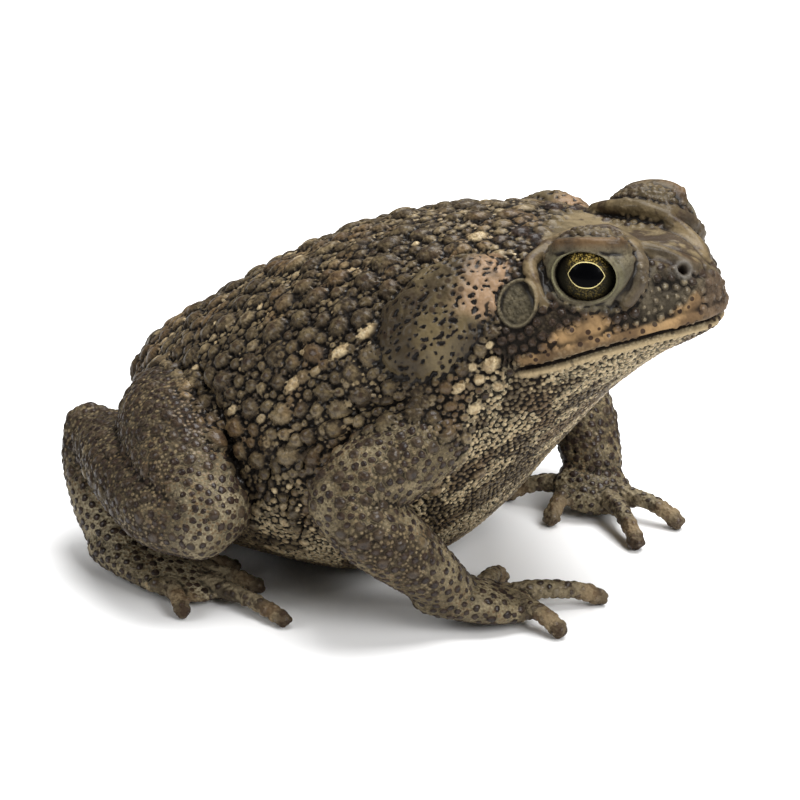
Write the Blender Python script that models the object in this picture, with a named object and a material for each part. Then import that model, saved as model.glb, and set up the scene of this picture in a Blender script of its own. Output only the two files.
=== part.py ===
"""Cane toad, life size, sitting with its head up, as a still model for a museum case.

Blender 4.5. The toad faces +X, its left side is +Y and +Z is up. It rests on its belly, hands and feet.
The origin is on the floor, in the middle of the flat under the belly. Sizes below are in millimetres.
"""

import math
import random

import bmesh
import bpy
from mathutils import Matrix, Vector
from mathutils.bvhtree import BVHTree

MM = 0.001
GAP = 0.3  # clearance between solids that touch
SHARP = math.radians(40)  # edges bent more than this are shaded sharp
SIDES = {"right": -1, "left": 1}

# The trunk, from rump to snout, as upright sections across X:
# x, underside z, top z, z of the widest place, half width, roundness of the top, roundness of the underside
TRUNK = [
    (-60.0, 22.0, 35.0, 29.0, 6.5, 2.0, 2.0),
    (-54.0, 11.5, 41.0, 28.0, 15.0, 2.0, 2.0),
    (-46.0, 3.5, 47.0, 26.0, 25.0, 2.0, 2.0),
    (-32.0, -0.8, 56.5, 26.0, 36.0, 2.1, 2.0),
    (-15.0, -1.2, 66.5, 27.5, 41.0, 2.1, 2.0),
    (0.0, -1.0, 72.5, 31.0, 41.5, 2.1, 2.0),
    (13.0, 4.0, 75.5, 37.0, 38.5, 2.2, 2.0),
    (24.0, 14.5, 77.0, 45.0, 34.5, 2.3, 2.0),
    (31.0, 24.0, 77.5, 51.0, 31.5, 2.4, 2.0),
    (38.0, 33.0, 77.7, 56.0, 28.5, 2.4, 2.0),
    (46.0, 43.0, 77.7, 60.0, 26.5, 2.4, 2.0),
    (53.0, 50.0, 78.1, 62.0, 22.5, 2.4, 2.0),
    (59.5, 55.5, 77.9, 63.0, 16.0, 2.5, 2.0),
    (65.0, 58.8, 75.3, 64.0, 10.3, 2.1, 2.0),
    (68.8, 61.4, 71.2, 65.5, 5.3, 2.0, 2.0),
]
RUMP_TIP = (-61.8, 0.0, 29.0)
SNOUT_TIP = (70.6, 0.0, 66.6)
TRUNK_RING = 24  # points round a section
NECK_X = 31.0  # the head meets the torso here
SEAT_REACH = 3.0  # how far the eardrum's seat is cut outwards past its face
SECTION_ROOM = 0.8  # least distance along X between a cut end and the next section
END_REACH = 0.9  # how far a limb's domed end reaches, as a share of its half size
DOME_OUT, DOME_SHARE = 0.75, 0.62  # where a dome's middle ring lies on its way out, and its share of the size

# The line of the mouth, seen from the side: x and z, from the hinge to the tip of the lip
MOUTH = [(30.0, 55.8), (39.0, 57.0), (46.0, 58.9), (53.0, 61.2), (59.0, 62.4), (65.0, 63.4), (76.0, 64.2)]

EYE = {
    "at": (48.5, 15.6, 74.3),
    "radius": 6.9,
    "gaze": (0.16, 0.97, 0.18),
    "opening": (5.9, 4.6),
    "plug_out": 9.0,  # how far ahead of the eyeball's middle the plug that opens the lids has its own
    "plug_deep": 12.0,
}
ORBIT = {"at": (48.7, 14.4, 74.5), "half": (10.0, 8.9, 8.9)}  # lids and brow round the eyeball
TYMPANUM = {"at": (37.2, 24.6, 69.2), "half": (3.5, 4.4), "thick": 1.6, "facing": (0.15, 0.88, 0.45)}
NOSTRIL = {"at": (64.1, 6.3, 74.3), "radius": 0.85, "depth": 3.0, "facing": (0.40, 0.76, 0.51)}
PAROTOID = {
    "at": (22.3, 25.8, 63.6),
    "half": (15.8, 10.6, 8.0),
    "along": (-0.60, 0.38, -0.70),
    "facing": (0.18, 0.86, 0.47),
}

# Bony crests of the head as ridges: points, then the radius at each. They are laid on the skin of the head.
CRESTS = {
    "brow": [(37.5, 12.5, 76.8, 1.2), (42.5, 9.4, 79.0, 1.5), (49.0, 8.2, 80.2, 1.5), (54.5, 9.2, 78.8, 1.4)],
    "canthus": [
        (54.6, 9.0, 78.4, 1.4),
        (59.4, 6.3, 77.4, 1.3),
        (62.3, 4.9, 76.2, 1.2),
        (65.0, 3.0, 74.4, 1.0),
    ],
    "before_eye": [
        (54.4, 10.4, 79.0, 1.5),
        (57.6, 13.2, 76.9, 1.7),
        (58.4, 15.6, 73.9, 1.8),
        (57.0, 17.8, 70.8, 1.7),
    ],
    "behind_eye": [
        (38.4, 12.8, 76.9, 1.2),
        (36.8, 18.0, 75.2, 1.3),
        (38.8, 21.2, 72.9, 1.2),
        (41.8, 23.3, 69.4, 1.1),
    ],
}
CREST_LIFT = -0.15  # height of a crest's middle line over the skin, as a share of its radius

# Limb pieces with y written outwards: x, y, z, half width, half thickness at each station
ARMS = {
    "right": {
        "upper_arm": [
            (27, 22, 45, 8.0, 8.5),
            (20, 32, 40, 8.2, 8.8),
            (13, 41, 33.5, 7.8, 8.6),
            (9.5, 45.5, 30.5, 6.6, 7.2),
        ],
        "forearm": [
            (9.5, 45.5, 30.5, 7.0, 6.8),
            (15.0, 43, 24.5, 8.8, 8.0),
            (21.5, 37, 16, 8.2, 6.8),
            (26, 31.8, 9, 6.6, 5.4),
        ],
        "hand": [
            (23.5, 33.5, 8.5, 5.8, 4.6),
            (28, 29.6, 6.4, 7.0, 4.5),
            (32.8, 26, 4.8, 7.4, 3.9),
            (37.2, 23, 3.8, 6.0, 3.0),
        ],
    },
    "left": {
        "upper_arm": [
            (27, 22, 45, 8.0, 8.5),
            (20, 33, 41, 8.2, 8.8),
            (14, 42, 35, 7.8, 8.6),
            (12, 46.5, 31.5, 6.6, 7.2),
        ],
        "forearm": [
            (12, 46.5, 31.5, 7.0, 6.8),
            (17.5, 46, 24.5, 8.0, 7.6),
            (23.5, 43, 16.5, 7.4, 6.6),
            (28, 38.5, 9.5, 6.4, 5.4),
        ],
        "hand": [
            (27, 40.5, 9.5, 5.8, 4.6),
            (28.4, 37.2, 7.0, 7.2, 4.5),
            (30, 34, 5.2, 8.8, 3.9),
            (31.4, 31.4, 4.2, 7.4, 3.0),
        ],
    },
}
LEG = {
    "thigh": [
        (-44, 17, 33.5, 7.0, 8.0),
        (-38, 27.5, 32.0, 11.0, 12.0),
        (-28, 39.5, 27.5, 11.2, 12.0),
        (-20.5, 46.5, 22.5, 8.4, 9.0),
    ],
    "shank": [
        (-20.5, 48.5, 20.5, 7.0, 8.0),
        (-30, 46, 21.5, 8.4, 9.4),
        (-43, 37.5, 23.5, 7.8, 9.0),
        (-56, 27, 24.8, 5.8, 6.8),
    ],
    "tarsus": [
        (-59.5, 26, 25.5, 5.6, 5.8),
        (-58.0, 29.5, 19, 5.6, 5.6),
        (-52, 34.8, 11.2, 5.6, 5.4),
        (-45.5, 38.8, 6.0, 5.8, 4.6),
    ],
    "foot": [
        (-48, 37.4, 6.0, 4.6, 6.0),
        (-40, 39.2, 4.8, 4.0, 7.4),
        (-31.5, 39.8, 3.6, 3.4, 8.6),
        (-24.5, 40.0, 2.8, 2.4, 8.0),
    ],
}
ARM_ACROSS = (0.70, 0.70, 0.0)  # direction of the half width of an arm's pieces
LEG_ACROSS = (0.0, 0.0, 1.0)  # direction of the half width of a leg's pieces, so here it is upright

# Digits: the root and the tip of each, its radii, and how high it arches between them
FINGERS = {
    "right": [((24.5, 23.0, 4.6), (14.6, 12.3, 1.5)), ((29.0, 21.0, 4.6), (27.6, 9.4, 2.0)),
              ((34.5, 20.5, 4.2), (49.3, 8.3, 1.5)), ((37.5, 24.0, 3.8), (47.9, 25.9, 1.5))],
    "left": [((24.0, 33.5, 4.6), (11.6, 30.2, 1.5)), ((26.0, 31.0, 4.4), (25.2, 22.4, 1.5)),
             ((35.0, 31.0, 4.4), (46.2, 19.4, 1.5)), ((36.5, 34.0, 4.4), (50.0, 32.8, 1.5))],
}
FINGER_RADII = (2.5, 1.85, 1.8)
FINGER_ARCH = 1.8
TOES = [
    ((-40.0, 35.5, 3.6), (-33.5, 27.5, 1.4)),
    ((-35.0, 35.0, 3.2), (-24.5, 28.5, 1.4)),
    ((-28.0, 37.0, 3.0), (-15.6, 34.6, 1.5)),
    ((-24.0, 40.5, 2.8), (-3.6, 45.7, 1.5)),
    ((-31.0, 44.0, 2.8), (-23.8, 51.2, 1.5)),
]
TOE_RADII = (2.3, 1.7, 1.6)
TOE_ARCH = 1.2

# Lips: how far each runs over or under the line of the mouth, its radius, and how far it sinks into the skin
LIPS = {"upper": (1.7, 1.5, 0.75), "lower": (-1.3, 1.0, 0.6)}

LIP_END = 0.6  # share of its radius that a lip keeps at its ends

# Warts: spots tried, least and greatest radius, share that stands out, room between two, seed of the scatter
WARTS = {
    "torso": {"tries": 1100, "least": 1.4, "most": 3.5, "stands": 0.62, "room": 1.38, "seed": 7},
    "thigh": {"tries": 40, "least": 1.3, "most": 2.3, "stands": 0.55, "room": 2.0, "seed": 3},
    "shank": {"tries": 40, "least": 1.3, "most": 2.4, "stands": 0.55, "room": 2.0, "seed": 4},
    "upper_arm": {"tries": 10, "least": 1.2, "most": 1.7, "stands": 0.5, "room": 2.4, "seed": 5},
    "forearm": {"tries": 12, "least": 1.2, "most": 1.7, "stands": 0.5, "room": 2.4, "seed": 6},
}
WART_CLEAR = 0.9  # least distance from a wart's rim to the next solid
WART_SUNK = 0.4  # share of its radius that a wart's middle lies under the skin

# The block that parts the jaws: half its width, its far faces, and how far it starts behind the neck
BLOCK = {"half": 60.0, "over": 120.0, "under": -20.0, "behind": 4.0}

COLOURS = {
    "skin": ((0.105, 0.085, 0.060), 0.62),
    "skin_pale": ((0.240, 0.205, 0.150), 0.60),
    "gland": ((0.200, 0.165, 0.110), 0.50),
    "drum": ((0.120, 0.108, 0.085), 0.45),
    "eyeball": ((0.020, 0.018, 0.010), 0.08),
    "digit": ((0.190, 0.150, 0.105), 0.55),
}


def clear_scene():
    for obj in list(bpy.data.objects):
        bpy.data.objects.remove(obj, do_unlink=True)
    for collection in list(bpy.data.collections):
        bpy.data.collections.remove(collection)


def new_collection(name):
    collection = bpy.data.collections.new(name)
    bpy.context.scene.collection.children.link(collection)
    return collection


def material(name):
    """The material of that name, made from the part's colour and roughness when it is first asked for."""
    found = bpy.data.materials.get(name)
    if found:
        return found
    colour, roughness = COLOURS[name]
    made = bpy.data.materials.new(name)
    made.use_nodes = True
    shader = made.node_tree.nodes["Principled BSDF"]
    shader.inputs["Base Color"].default_value = (*colour, 1.0)
    shader.inputs["Roughness"].default_value = roughness
    shader.inputs["Metallic"].default_value = 0.0
    return made


def mirrored(point, side):
    """A point written for an outward y, put on that side of the body."""
    return Vector((point[0], SIDES[side] * point[1], point[2]))


def through(rows, steps):
    """Rows of numbers on a smooth Catmull-Rom curve through the given rows, steps to each span."""
    rows = [list(map(float, row)) for row in rows]
    padded = [rows[0]] + rows + [rows[-1]]
    made = []
    for i in range(1, len(padded) - 2):
        a, b, c, d = padded[i - 1 : i + 3]
        for k in range(steps):
            t = k / steps
            row = []
            for p, q, r, s in zip(a, b, c, d):
                bend = (2 * p - 5 * q + 4 * r - s) * t**2 + (3 * q - p - 3 * r + s) * t**3
                row.append(q + 0.5 * ((r - p) * t + bend))
            made.append(row)
    made.append(rows[-1])
    return made


def loft(name, rings, start, end, collection, slot):
    """A closed body through rings of points, with a fan to a point at each end, none under the floor."""
    bm = bmesh.new()

    def vertex(point):
        return bm.verts.new((point[0] * MM, point[1] * MM, max(point[2], 0.0) * MM))

    rows = [[vertex(point) for point in ring] for ring in rings]
    for low, high in zip(rows, rows[1:]):
        for k in range(len(low)):
            n = (k + 1) % len(low)
            bm.faces.new((low[k], low[n], high[n], high[k]))
    for row, tip in ((rows[0], start), (rows[-1], end)):
        if tip is None:
            bm.faces.new(row)
        else:
            point = vertex(tip)
            for k in range(len(row)):
                bm.faces.new((row[k], row[(k + 1) % len(row)], point))
    bmesh.ops.recalc_face_normals(bm, faces=bm.faces)
    bmesh.ops.triangulate(bm, faces=bm.faces)
    return finished(name, bm, collection, slot)


def finished(name, bm, collection, slot):
    mesh = bpy.data.meshes.new(name)
    bm.to_mesh(mesh)
    bm.free()
    obj = bpy.data.objects.new(name, mesh)
    collection.objects.link(obj)
    mesh.materials.append(material(slot))
    mesh.shade_smooth()
    mesh.set_sharp_from_angle(angle=SHARP)
    return obj


def rounded(value, power):
    """A cosine or sine, pushed out towards a fuller curve by a power over 2."""
    return math.copysign(abs(value) ** (2.0 / power), value)


def trunk_ring(row):
    x, low, high, wide, half, top_power, low_power = row
    ring = []
    for k in range(TRUNK_RING):
        angle = 2 * math.pi * k / TRUNK_RING
        up, across = math.cos(angle), math.sin(angle)
        power = top_power if up > 0 else low_power
        reach = high - wide if up > 0 else wide - low
        ring.append((x, half * rounded(across, power), wide + reach * rounded(up, power)))
    return ring


def trunk_rows(first, last):
    """Trunk sections between two places along X, with one exactly at each."""
    rows = through(TRUNK, 2)

    def at(x):
        for a, b in zip(rows, rows[1:]):
            if a[0] <= x <= b[0]:
                t = (x - a[0]) / (b[0] - a[0])
                return [p + (q - p) * t for p, q in zip(a, b)]
        return rows[0] if x < rows[0][0] else rows[-1]

    kept = [row for row in rows if first + SECTION_ROOM < row[0] < last - SECTION_ROOM]
    return [at(first)] + kept + [at(last)]


def limb(name, stations, side, collection, slot, across, points=10):
    """A limb piece: oval sections along a curve, closed by domed ends. Its half width lies along across."""
    rows = through(stations, 2)
    centres = [mirrored(row, side) for row in rows]
    across = mirrored(across, side)
    rings = []
    tips = []
    for i, (centre, row) in enumerate(zip(centres, rows)):
        along = (centres[min(i + 1, len(rows) - 1)] - centres[max(i - 1, 0)]).normalized()
        wide = (across - along * across.dot(along)).normalized()
        tall = along.cross(wide)

        def ring(middle, share):
            return [
                middle + wide * (row[3] * share * math.cos(a)) + tall * (row[4] * share * math.sin(a))
                for a in (2 * math.pi * k / points for k in range(points))
            ]

        reach = END_REACH * (row[3] + row[4]) / 2
        if i == 0:
            tips.append(centre - along * reach)
            rings += [ring(centre - along * reach * DOME_OUT, DOME_SHARE), ring(centre, 1.0)]
        elif i == len(rows) - 1:
            tips.append(centre + along * reach)
            rings += [ring(centre, 1.0), ring(centre + along * reach * DOME_OUT, DOME_SHARE)]
        else:
            rings.append(ring(centre, 1.0))
    return loft(name, rings, tips[0], tips[1], collection, slot)


def mesh_of(obj):
    """The object as a mesh of its own, with its curve or modifiers made real and its caps welded."""
    graph = bpy.context.evaluated_depsgraph_get()
    mesh = bpy.data.meshes.new_from_object(obj.evaluated_get(graph), depsgraph=graph)
    bm = bmesh.new()
    bm.from_mesh(mesh)
    bmesh.ops.remove_doubles(bm, verts=bm.verts, dist=0.01 * MM)
    for vert in bm.verts:
        vert.co.z = max(vert.co.z, 0.0)
    bmesh.ops.recalc_face_normals(bm, faces=bm.faces)
    bmesh.ops.triangulate(bm, faces=bm.faces)
    bpy.data.meshes.remove(mesh)
    return bm


def rod(name, points, radii, collection, slot, steps=2):
    """A round tapered piece of six sides along a smooth curve through the points, with domed ends."""
    rows = through([(*p[:3], r) for p, r in zip(points, radii)], steps)
    first, last = Vector(rows[0][:3]), Vector(rows[-1][:3])
    start = (first - Vector(rows[1][:3])).normalized()
    end = (last - Vector(rows[-2][:3])).normalized()
    first_cap = [*(first + start * rows[0][3] * DOME_OUT), rows[0][3] * DOME_SHARE]
    last_cap = [*(last + end * rows[-1][3] * DOME_OUT), rows[-1][3] * DOME_SHARE]
    rows = [first_cap] + rows + [last_cap]
    curve = bpy.data.curves.new(name + "_line", "CURVE")
    curve.dimensions = "3D"
    curve.bevel_depth = MM
    curve.bevel_resolution = 1
    curve.use_fill_caps = True
    spline = curve.splines.new("POLY")
    spline.points.add(len(rows) - 1)
    for point, row in zip(spline.points, rows):
        point.co = (row[0] * MM, row[1] * MM, row[2] * MM, 1.0)
        point.radius = row[3]
    holder = bpy.data.objects.new(name + "_line", curve)
    collection.objects.link(holder)
    bm = mesh_of(holder)
    bpy.data.objects.remove(holder, do_unlink=True)
    return finished(name, bm, collection, slot)


def turned_to(facing, along=None):
    """A rotation whose Z points along facing, and whose X lies as near along as it can."""
    z = Vector(facing).normalized()
    x = Vector(along) if along else Vector((0, 0, 1)).cross(z)
    x = (x - z * x.dot(z)).normalized()
    return Matrix((x, z.cross(x), z)).transposed().to_4x4()


def ball(name, centre, half, turn, collection, slot, segments=20, rings=12):
    bm = bmesh.new()
    bmesh.ops.create_uvsphere(bm, u_segments=segments, v_segments=rings, radius=1.0)
    size = Matrix.Diagonal((*[h * MM for h in half], 1.0))
    bm.transform(Matrix.Translation(Vector(centre) * MM) @ turn @ size)
    bmesh.ops.triangulate(bm, faces=bm.faces)
    return finished(name, bm, collection, slot)


def drum(name, centre, half, height, turn, collection, slot, segments=14):
    """An oval disc or plug with its middle at centre, its axis along the turn's Z."""
    bm = bmesh.new()
    bmesh.ops.create_cone(bm, cap_ends=True, segments=segments, radius1=1.0, radius2=1.0, depth=1.0)
    size = Matrix.Diagonal((half[0] * MM, half[1] * MM, height * MM, 1.0))
    bm.transform(Matrix.Translation(Vector(centre) * MM) @ turn @ size)
    bmesh.ops.triangulate(bm, faces=bm.faces)
    return finished(name, bm, collection, slot)


def largest_shell(obj):
    """Leaves only the biggest closed surface of a mesh, so that no scrap or sealed hollow stays."""
    bm = bmesh.new()
    bm.from_mesh(obj.data)
    bm.faces.ensure_lookup_table()
    unseen = set(bm.faces)
    shells = []
    while unseen:
        queue = [unseen.pop()]
        shell = set(queue)
        while queue:
            for edge in queue.pop().edges:
                for face in edge.link_faces:
                    if face in unseen:
                        unseen.discard(face)
                        shell.add(face)
                        queue.append(face)
        shells.append(shell)
    biggest = max(shells, key=lambda shell: sum(face.calc_area() for face in shell))
    bmesh.ops.delete(bm, geom=[face for face in bm.faces if face not in biggest], context="FACES")
    bmesh.ops.triangulate(bm, faces=bm.faces)
    bm.to_mesh(obj.data)
    bm.free()


def combine(obj, others, operation):
    """One Boolean on a collection of closed meshes, applied. The collection's objects are then removed."""
    if not others:
        return obj
    tools = bpy.data.collections.new(obj.name + "_tools")
    bpy.context.scene.collection.children.link(tools)
    for other in others:
        for owner in list(other.users_collection):
            owner.objects.unlink(other)
        tools.objects.link(other)
    boolean = obj.modifiers.new(operation.lower(), "BOOLEAN")
    boolean.operation = operation
    boolean.operand_type = "COLLECTION"
    boolean.collection = tools
    boolean.solver = "EXACT"
    graph = bpy.context.evaluated_depsgraph_get()
    mesh = bpy.data.meshes.new_from_object(obj.evaluated_get(graph), depsgraph=graph)
    obj.modifiers.clear()
    old = obj.data
    obj.data = mesh
    bpy.data.meshes.remove(old)
    for other in others:
        bpy.data.objects.remove(other, do_unlink=True)
    bpy.data.collections.remove(tools)
    largest_shell(obj)
    obj.data.shade_smooth()
    obj.data.set_sharp_from_angle(angle=SHARP)
    return obj


def grown(obj, by=GAP):
    """A copy of a solid with its skin moved out by the gap, to cut its neighbours with."""
    bm = bmesh.new()
    bm.from_mesh(obj.data)
    bm.normal_update()
    moves = [vert.normal * by * MM for vert in bm.verts]
    for vert, move in zip(bm.verts, moves):
        vert.co += move
    mesh = bpy.data.meshes.new(obj.name + "_grown")
    bm.to_mesh(mesh)
    bm.free()
    copy = bpy.data.objects.new(obj.name + "_grown", mesh)
    bpy.context.scene.collection.objects.link(copy)
    return copy


def trimmed(obj, point, normal):
    """Cuts a solid flat, a half gap short of the plane, and keeps what lies behind the plane's normal."""
    bm = bmesh.new()
    bm.from_mesh(obj.data)
    spot = (point - normal * GAP / 2) * MM
    everything = bm.verts[:] + bm.edges[:] + bm.faces[:]
    bmesh.ops.bisect_plane(bm, geom=everything, plane_co=spot, plane_no=normal, clear_outer=True)
    rim = [edge for edge in bm.edges if edge.is_boundary]
    bmesh.ops.holes_fill(bm, edges=rim, sides=0)
    bmesh.ops.triangulate(bm, faces=bm.faces)
    bmesh.ops.recalc_face_normals(bm, faces=bm.faces)
    bm.to_mesh(obj.data)
    bm.free()


def part_at_joint(inner, outer, inner_stations, outer_stations, side):
    """Parts two limb pieces by the plane that halves the bend between them."""
    a, b = (mirrored(row, side) for row in inner_stations[-2:])
    c, d = (mirrored(row, side) for row in outer_stations[:2])
    normal = ((b - a).normalized() + (d - c).normalized()).normalized()
    middle = (b + c) / 2
    trimmed(inner, middle, normal)
    trimmed(outer, middle, -normal)


def box_of(obj):
    corners = [vert.co for vert in obj.data.vertices]
    low = Vector(min(c[i] for c in corners) for i in range(3))
    high = Vector(max(c[i] for c in corners) for i in range(3))
    return low, high


def near(a, b):
    """Whether the boxes of two solids, with the gap between them, meet."""
    (low_a, high_a), (low_b, high_b) = box_of(a), box_of(b)
    return all(low_a[i] - GAP * MM < high_b[i] and low_b[i] - GAP * MM < high_a[i] for i in range(3))


def cut_clear(obj, neighbours):
    """Takes from a solid what its neighbours fill, with the gap round them."""
    return combine(obj, [grown(other) for other in neighbours if near(obj, other)], "DIFFERENCE")


def dome(centre, normal, half, spin):
    """A small closed egg of few sides, its long axis turned by spin and its height along the normal."""
    bm = bmesh.new()
    bmesh.ops.create_uvsphere(bm, u_segments=5, v_segments=4, radius=1.0)
    turn = turned_to(normal, (math.cos(spin), math.sin(spin), 0.3))
    bm.transform(Matrix.Translation(centre * MM) @ turn @ Matrix.Diagonal((*[h * MM for h in half], 1.0)))
    bmesh.ops.triangulate(bm, faces=bm.faces)
    mesh = bpy.data.meshes.new("wart")
    bm.to_mesh(mesh)
    bm.free()
    obj = bpy.data.objects.new("wart", mesh)
    bpy.context.scene.collection.objects.link(obj)
    return obj


def add_warts(obj, others, sizes, share_at):
    """Warts over a solid, larger ones placed first, kept off each other and clear of the other solids.

    share_at gives, for a place in millimetres, how much of the full size warts reach there.
    """
    draw = random.Random(sizes["seed"])
    graph = bpy.context.evaluated_depsgraph_get()
    skin = BVHTree.FromObject(obj, graph)
    walls = [BVHTree.FromObject(other, graph) for other in others if near(obj, other)]
    mesh = obj.data
    wanted = []
    for tri in draw.choices(mesh.polygons, weights=[tri.area for tri in mesh.polygons], k=sizes["tries"]):
        a, b, c = (mesh.vertices[v].co for v in tri.vertices)
        u, v = sorted((draw.random(), draw.random()))
        spot = (a * u + b * (v - u) + c * (1 - v)) / MM
        share = share_at(spot)
        radius = sizes["least"] + (sizes["most"] - sizes["least"]) * share * draw.random() ** 1.6
        if share > 0:
            wanted.append((radius, spot))
    chosen = []
    for radius, spot in sorted(wanted, key=lambda item: -item[0]):
        reach = (radius * 1.25 + WART_CLEAR) * MM
        if any(wall.find_nearest(spot * MM, reach)[0] for wall in walls):
            continue
        if all((spot - other).length > sizes["room"] * (radius + size) for size, other in chosen):
            chosen.append((radius, spot))
    made = []
    for radius, spot in chosen:
        normal = skin.find_nearest(spot * MM)[1]
        sunk = radius * WART_SUNK
        half = (radius * draw.uniform(1.0, 1.25), radius, radius * sizes["stands"] + sunk)
        made.append(dome(spot - normal * sunk, normal, half, draw.uniform(0, math.pi)))
    return combine(obj, made, "UNION")


def torso_share(spot):
    """Warts are full on the back and flanks, small towards the neck and none on the belly."""
    low = min(max((spot.z - 20.0) / 16.0, 0.0), 1.0)
    neck = min(max((NECK_X - 3.0 - spot.x) / 10.0, 0.0), 1.0)
    return low * neck


def limb_share(spot):
    """Warts stand on the upper and outer side of a limb, and not near the floor."""
    return min(max((spot.z - 10.0) / 10.0, 0.0), 1.0) if abs(spot.y) > 26.0 else 0.0


def skin_y(x, z):
    """Half the trunk's width at a place along it and a height."""
    low, high, wide, half, top_power, low_power = trunk_rows(x, TRUNK[-1][0])[0][1:]
    power = top_power if z > wide else low_power
    share = (z - wide) / (high - wide) if z > wide else (wide - z) / (wide - low)
    return half * max(1 - min(share, 1.0) ** power, 0.0) ** (1 / power)


def lips(collection):
    """The thick rims of the two jaws, from the corner of the mouth to near the tip of the snout."""
    made = []
    rows = [row for row in through(MOUTH, 2) if 38.0 < row[0] < 68.5]
    for rise, radius, sunk in LIPS.values():
        for side in SIDES:
            line = [mirrored((x, skin_y(x, z + rise) - sunk, z + rise), side) for x, z in rows[::2]]
            radii = [radius * LIP_END] + [radius] * (len(line) - 2) + [radius * LIP_END]
            made.append(rod("lip", line, radii, collection, "skin", 1))
    return made


def make_torso(collection):
    rings = [trunk_ring(row) for row in trunk_rows(TRUNK[0][0], NECK_X - GAP / 2)]
    return loft("torso", rings, RUMP_TIP, None, collection, "skin")


def make_head(collection):
    rings = [trunk_ring(row) for row in trunk_rows(NECK_X + GAP / 2, TRUNK[-1][0])]
    head = loft("head", rings, None, SNOUT_TIP, collection, "skin")
    upright = Matrix.Identity(4)
    orbits = []
    for side in SIDES:
        middle = mirrored(ORBIT["at"], side)
        orbits.append(ball("orbit", middle, ORBIT["half"], upright, collection, "skin", 14, 9))
    combine(head, orbits, "UNION")
    skull = BVHTree.FromObject(head, bpy.context.evaluated_depsgraph_get())
    crests = []
    for side in SIDES:
        for rows in CRESTS.values():
            line = []
            for row in through(rows, 2):
                spot, normal, _, _ = skull.find_nearest(mirrored(row, side) * MM)
                line.append((*(spot / MM + normal * row[3] * CREST_LIFT), row[3]))
            crests.append(rod("crest", line, [row[3] for row in line], collection, "skin", 1))
    return combine(head, crests + lips(collection), "UNION")


def mouth_block(name, above, collection):
    """All that lies above, or below, the line of the mouth."""
    rows = through(MOUTH, 3)
    shift = -GAP / 2 if above else GAP / 2
    far = BLOCK["over"] if above else BLOCK["under"]
    bm = bmesh.new()
    outline = [(x, z + shift) for x, z in rows]
    outline[0] = (NECK_X - BLOCK["behind"], outline[0][1])
    outline += [(outline[-1][0], far), (outline[0][0], far)]
    face = bm.faces.new([bm.verts.new((x * MM, -BLOCK["half"] * MM, z * MM)) for x, z in outline])
    pushed = bmesh.ops.extrude_face_region(bm, geom=[face])
    verts = [item for item in pushed["geom"] if isinstance(item, bmesh.types.BMVert)]
    bmesh.ops.translate(bm, verts=verts, vec=(0, 2 * BLOCK["half"] * MM, 0))
    bmesh.ops.recalc_face_normals(bm, faces=bm.faces)
    bmesh.ops.triangulate(bm, faces=bm.faces)
    return finished(name, bm, collection, "skin")


def duplicate(obj, name, collection):
    copy = obj.copy()
    copy.data = obj.data.copy()
    copy.name = name
    collection.objects.link(copy)
    return copy


def digit(name, root, tip, radii, arch, side, collection):
    """A finger or toe: it rises over a low arch and its blunt tip turns down to the floor."""
    a, b = mirrored(root, side), mirrored(tip, side)
    run = b - a
    bend = [a, a + run * 0.55 + Vector((0, 0, arch)), b]
    return rod(name, bend, radii, collection, "digit")


def limb_chain(pieces, side, collection, across):
    """The pieces of one limb from the body outwards, each parted from the next at its joint."""
    made = []
    for name, rows in pieces.items():
        made.append(limb(f"{name}_{side}", rows, side, collection, "skin_pale", across))
    stations = list(pieces.values())
    for k in range(len(made) - 1):
        part_at_joint(made[k], made[k + 1], stations[k], stations[k + 1], side)
    return made


def clear_chain(body, pieces, digits):
    """Cuts each piece of a limb clear of the body and of the pieces before it that it doesn't adjoin."""
    for k, piece in enumerate(pieces):
        cut_clear(piece, body + pieces[: max(k - 1, 0)])
    for k, piece in enumerate(digits):
        cut_clear(piece, body + pieces[-2:] + digits[:k])


def make_gland(side, collection):
    turn = turned_to(mirrored(PAROTOID["facing"], side), mirrored(PAROTOID["along"], side))
    centre = mirrored(PAROTOID["at"], side)
    return ball(f"parotoid_{side}", centre, PAROTOID["half"], turn, collection, "gland", 16, 9)


def make_eye(side, collection, tools):
    """The eyeball, and the plug that opens the lids in front of it."""
    gaze = turned_to(mirrored(EYE["gaze"], side))
    centre = mirrored(EYE["at"], side)
    eye = ball(f"eye_{side}", centre, [EYE["radius"]] * 3, gaze, collection, "eyeball", 16, 9)
    ahead = centre + mirrored(EYE["gaze"], side).normalized() * EYE["plug_out"]
    plug = drum("lid_opening", ahead, EYE["opening"], EYE["plug_deep"], gaze, tools, "skin")
    return eye, plug


def make_eardrum(side, collection, tools):
    """The eardrum's disc, and the plug that cuts its seat in the head."""
    facing = turned_to(mirrored(TYMPANUM["facing"], side))
    centre = mirrored(TYMPANUM["at"], side)
    disc = drum(f"tympanum_{side}", centre, TYMPANUM["half"], TYMPANUM["thick"], facing, collection, "drum")
    clearance = [h + GAP for h in TYMPANUM["half"]]
    outside = mirrored(TYMPANUM["facing"], side).normalized() * SEAT_REACH / 2
    deep = TYMPANUM["thick"] + 2 * GAP + SEAT_REACH
    seat = drum("drum_seat", centre + outside, clearance, deep, facing, tools, "skin")
    return disc, seat


def nostril_plug(side, tools):
    bore = turned_to(mirrored(NOSTRIL["facing"], side))
    centre = mirrored(NOSTRIL["at"], side)
    return drum("nostril", centre, [NOSTRIL["radius"]] * 2, NOSTRIL["depth"], bore, tools, "skin", 7)


def part_the_jaws(head, collection, tools):
    """Leaves the upper part as the head and gives the lower jaw, parted along the line of the mouth."""
    jaw = duplicate(head, "lower_jaw", collection)
    combine(jaw, [mouth_block("above_mouth", True, tools)], "DIFFERENCE")
    combine(head, [mouth_block("below_mouth", False, tools)], "DIFFERENCE")
    return jaw


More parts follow.
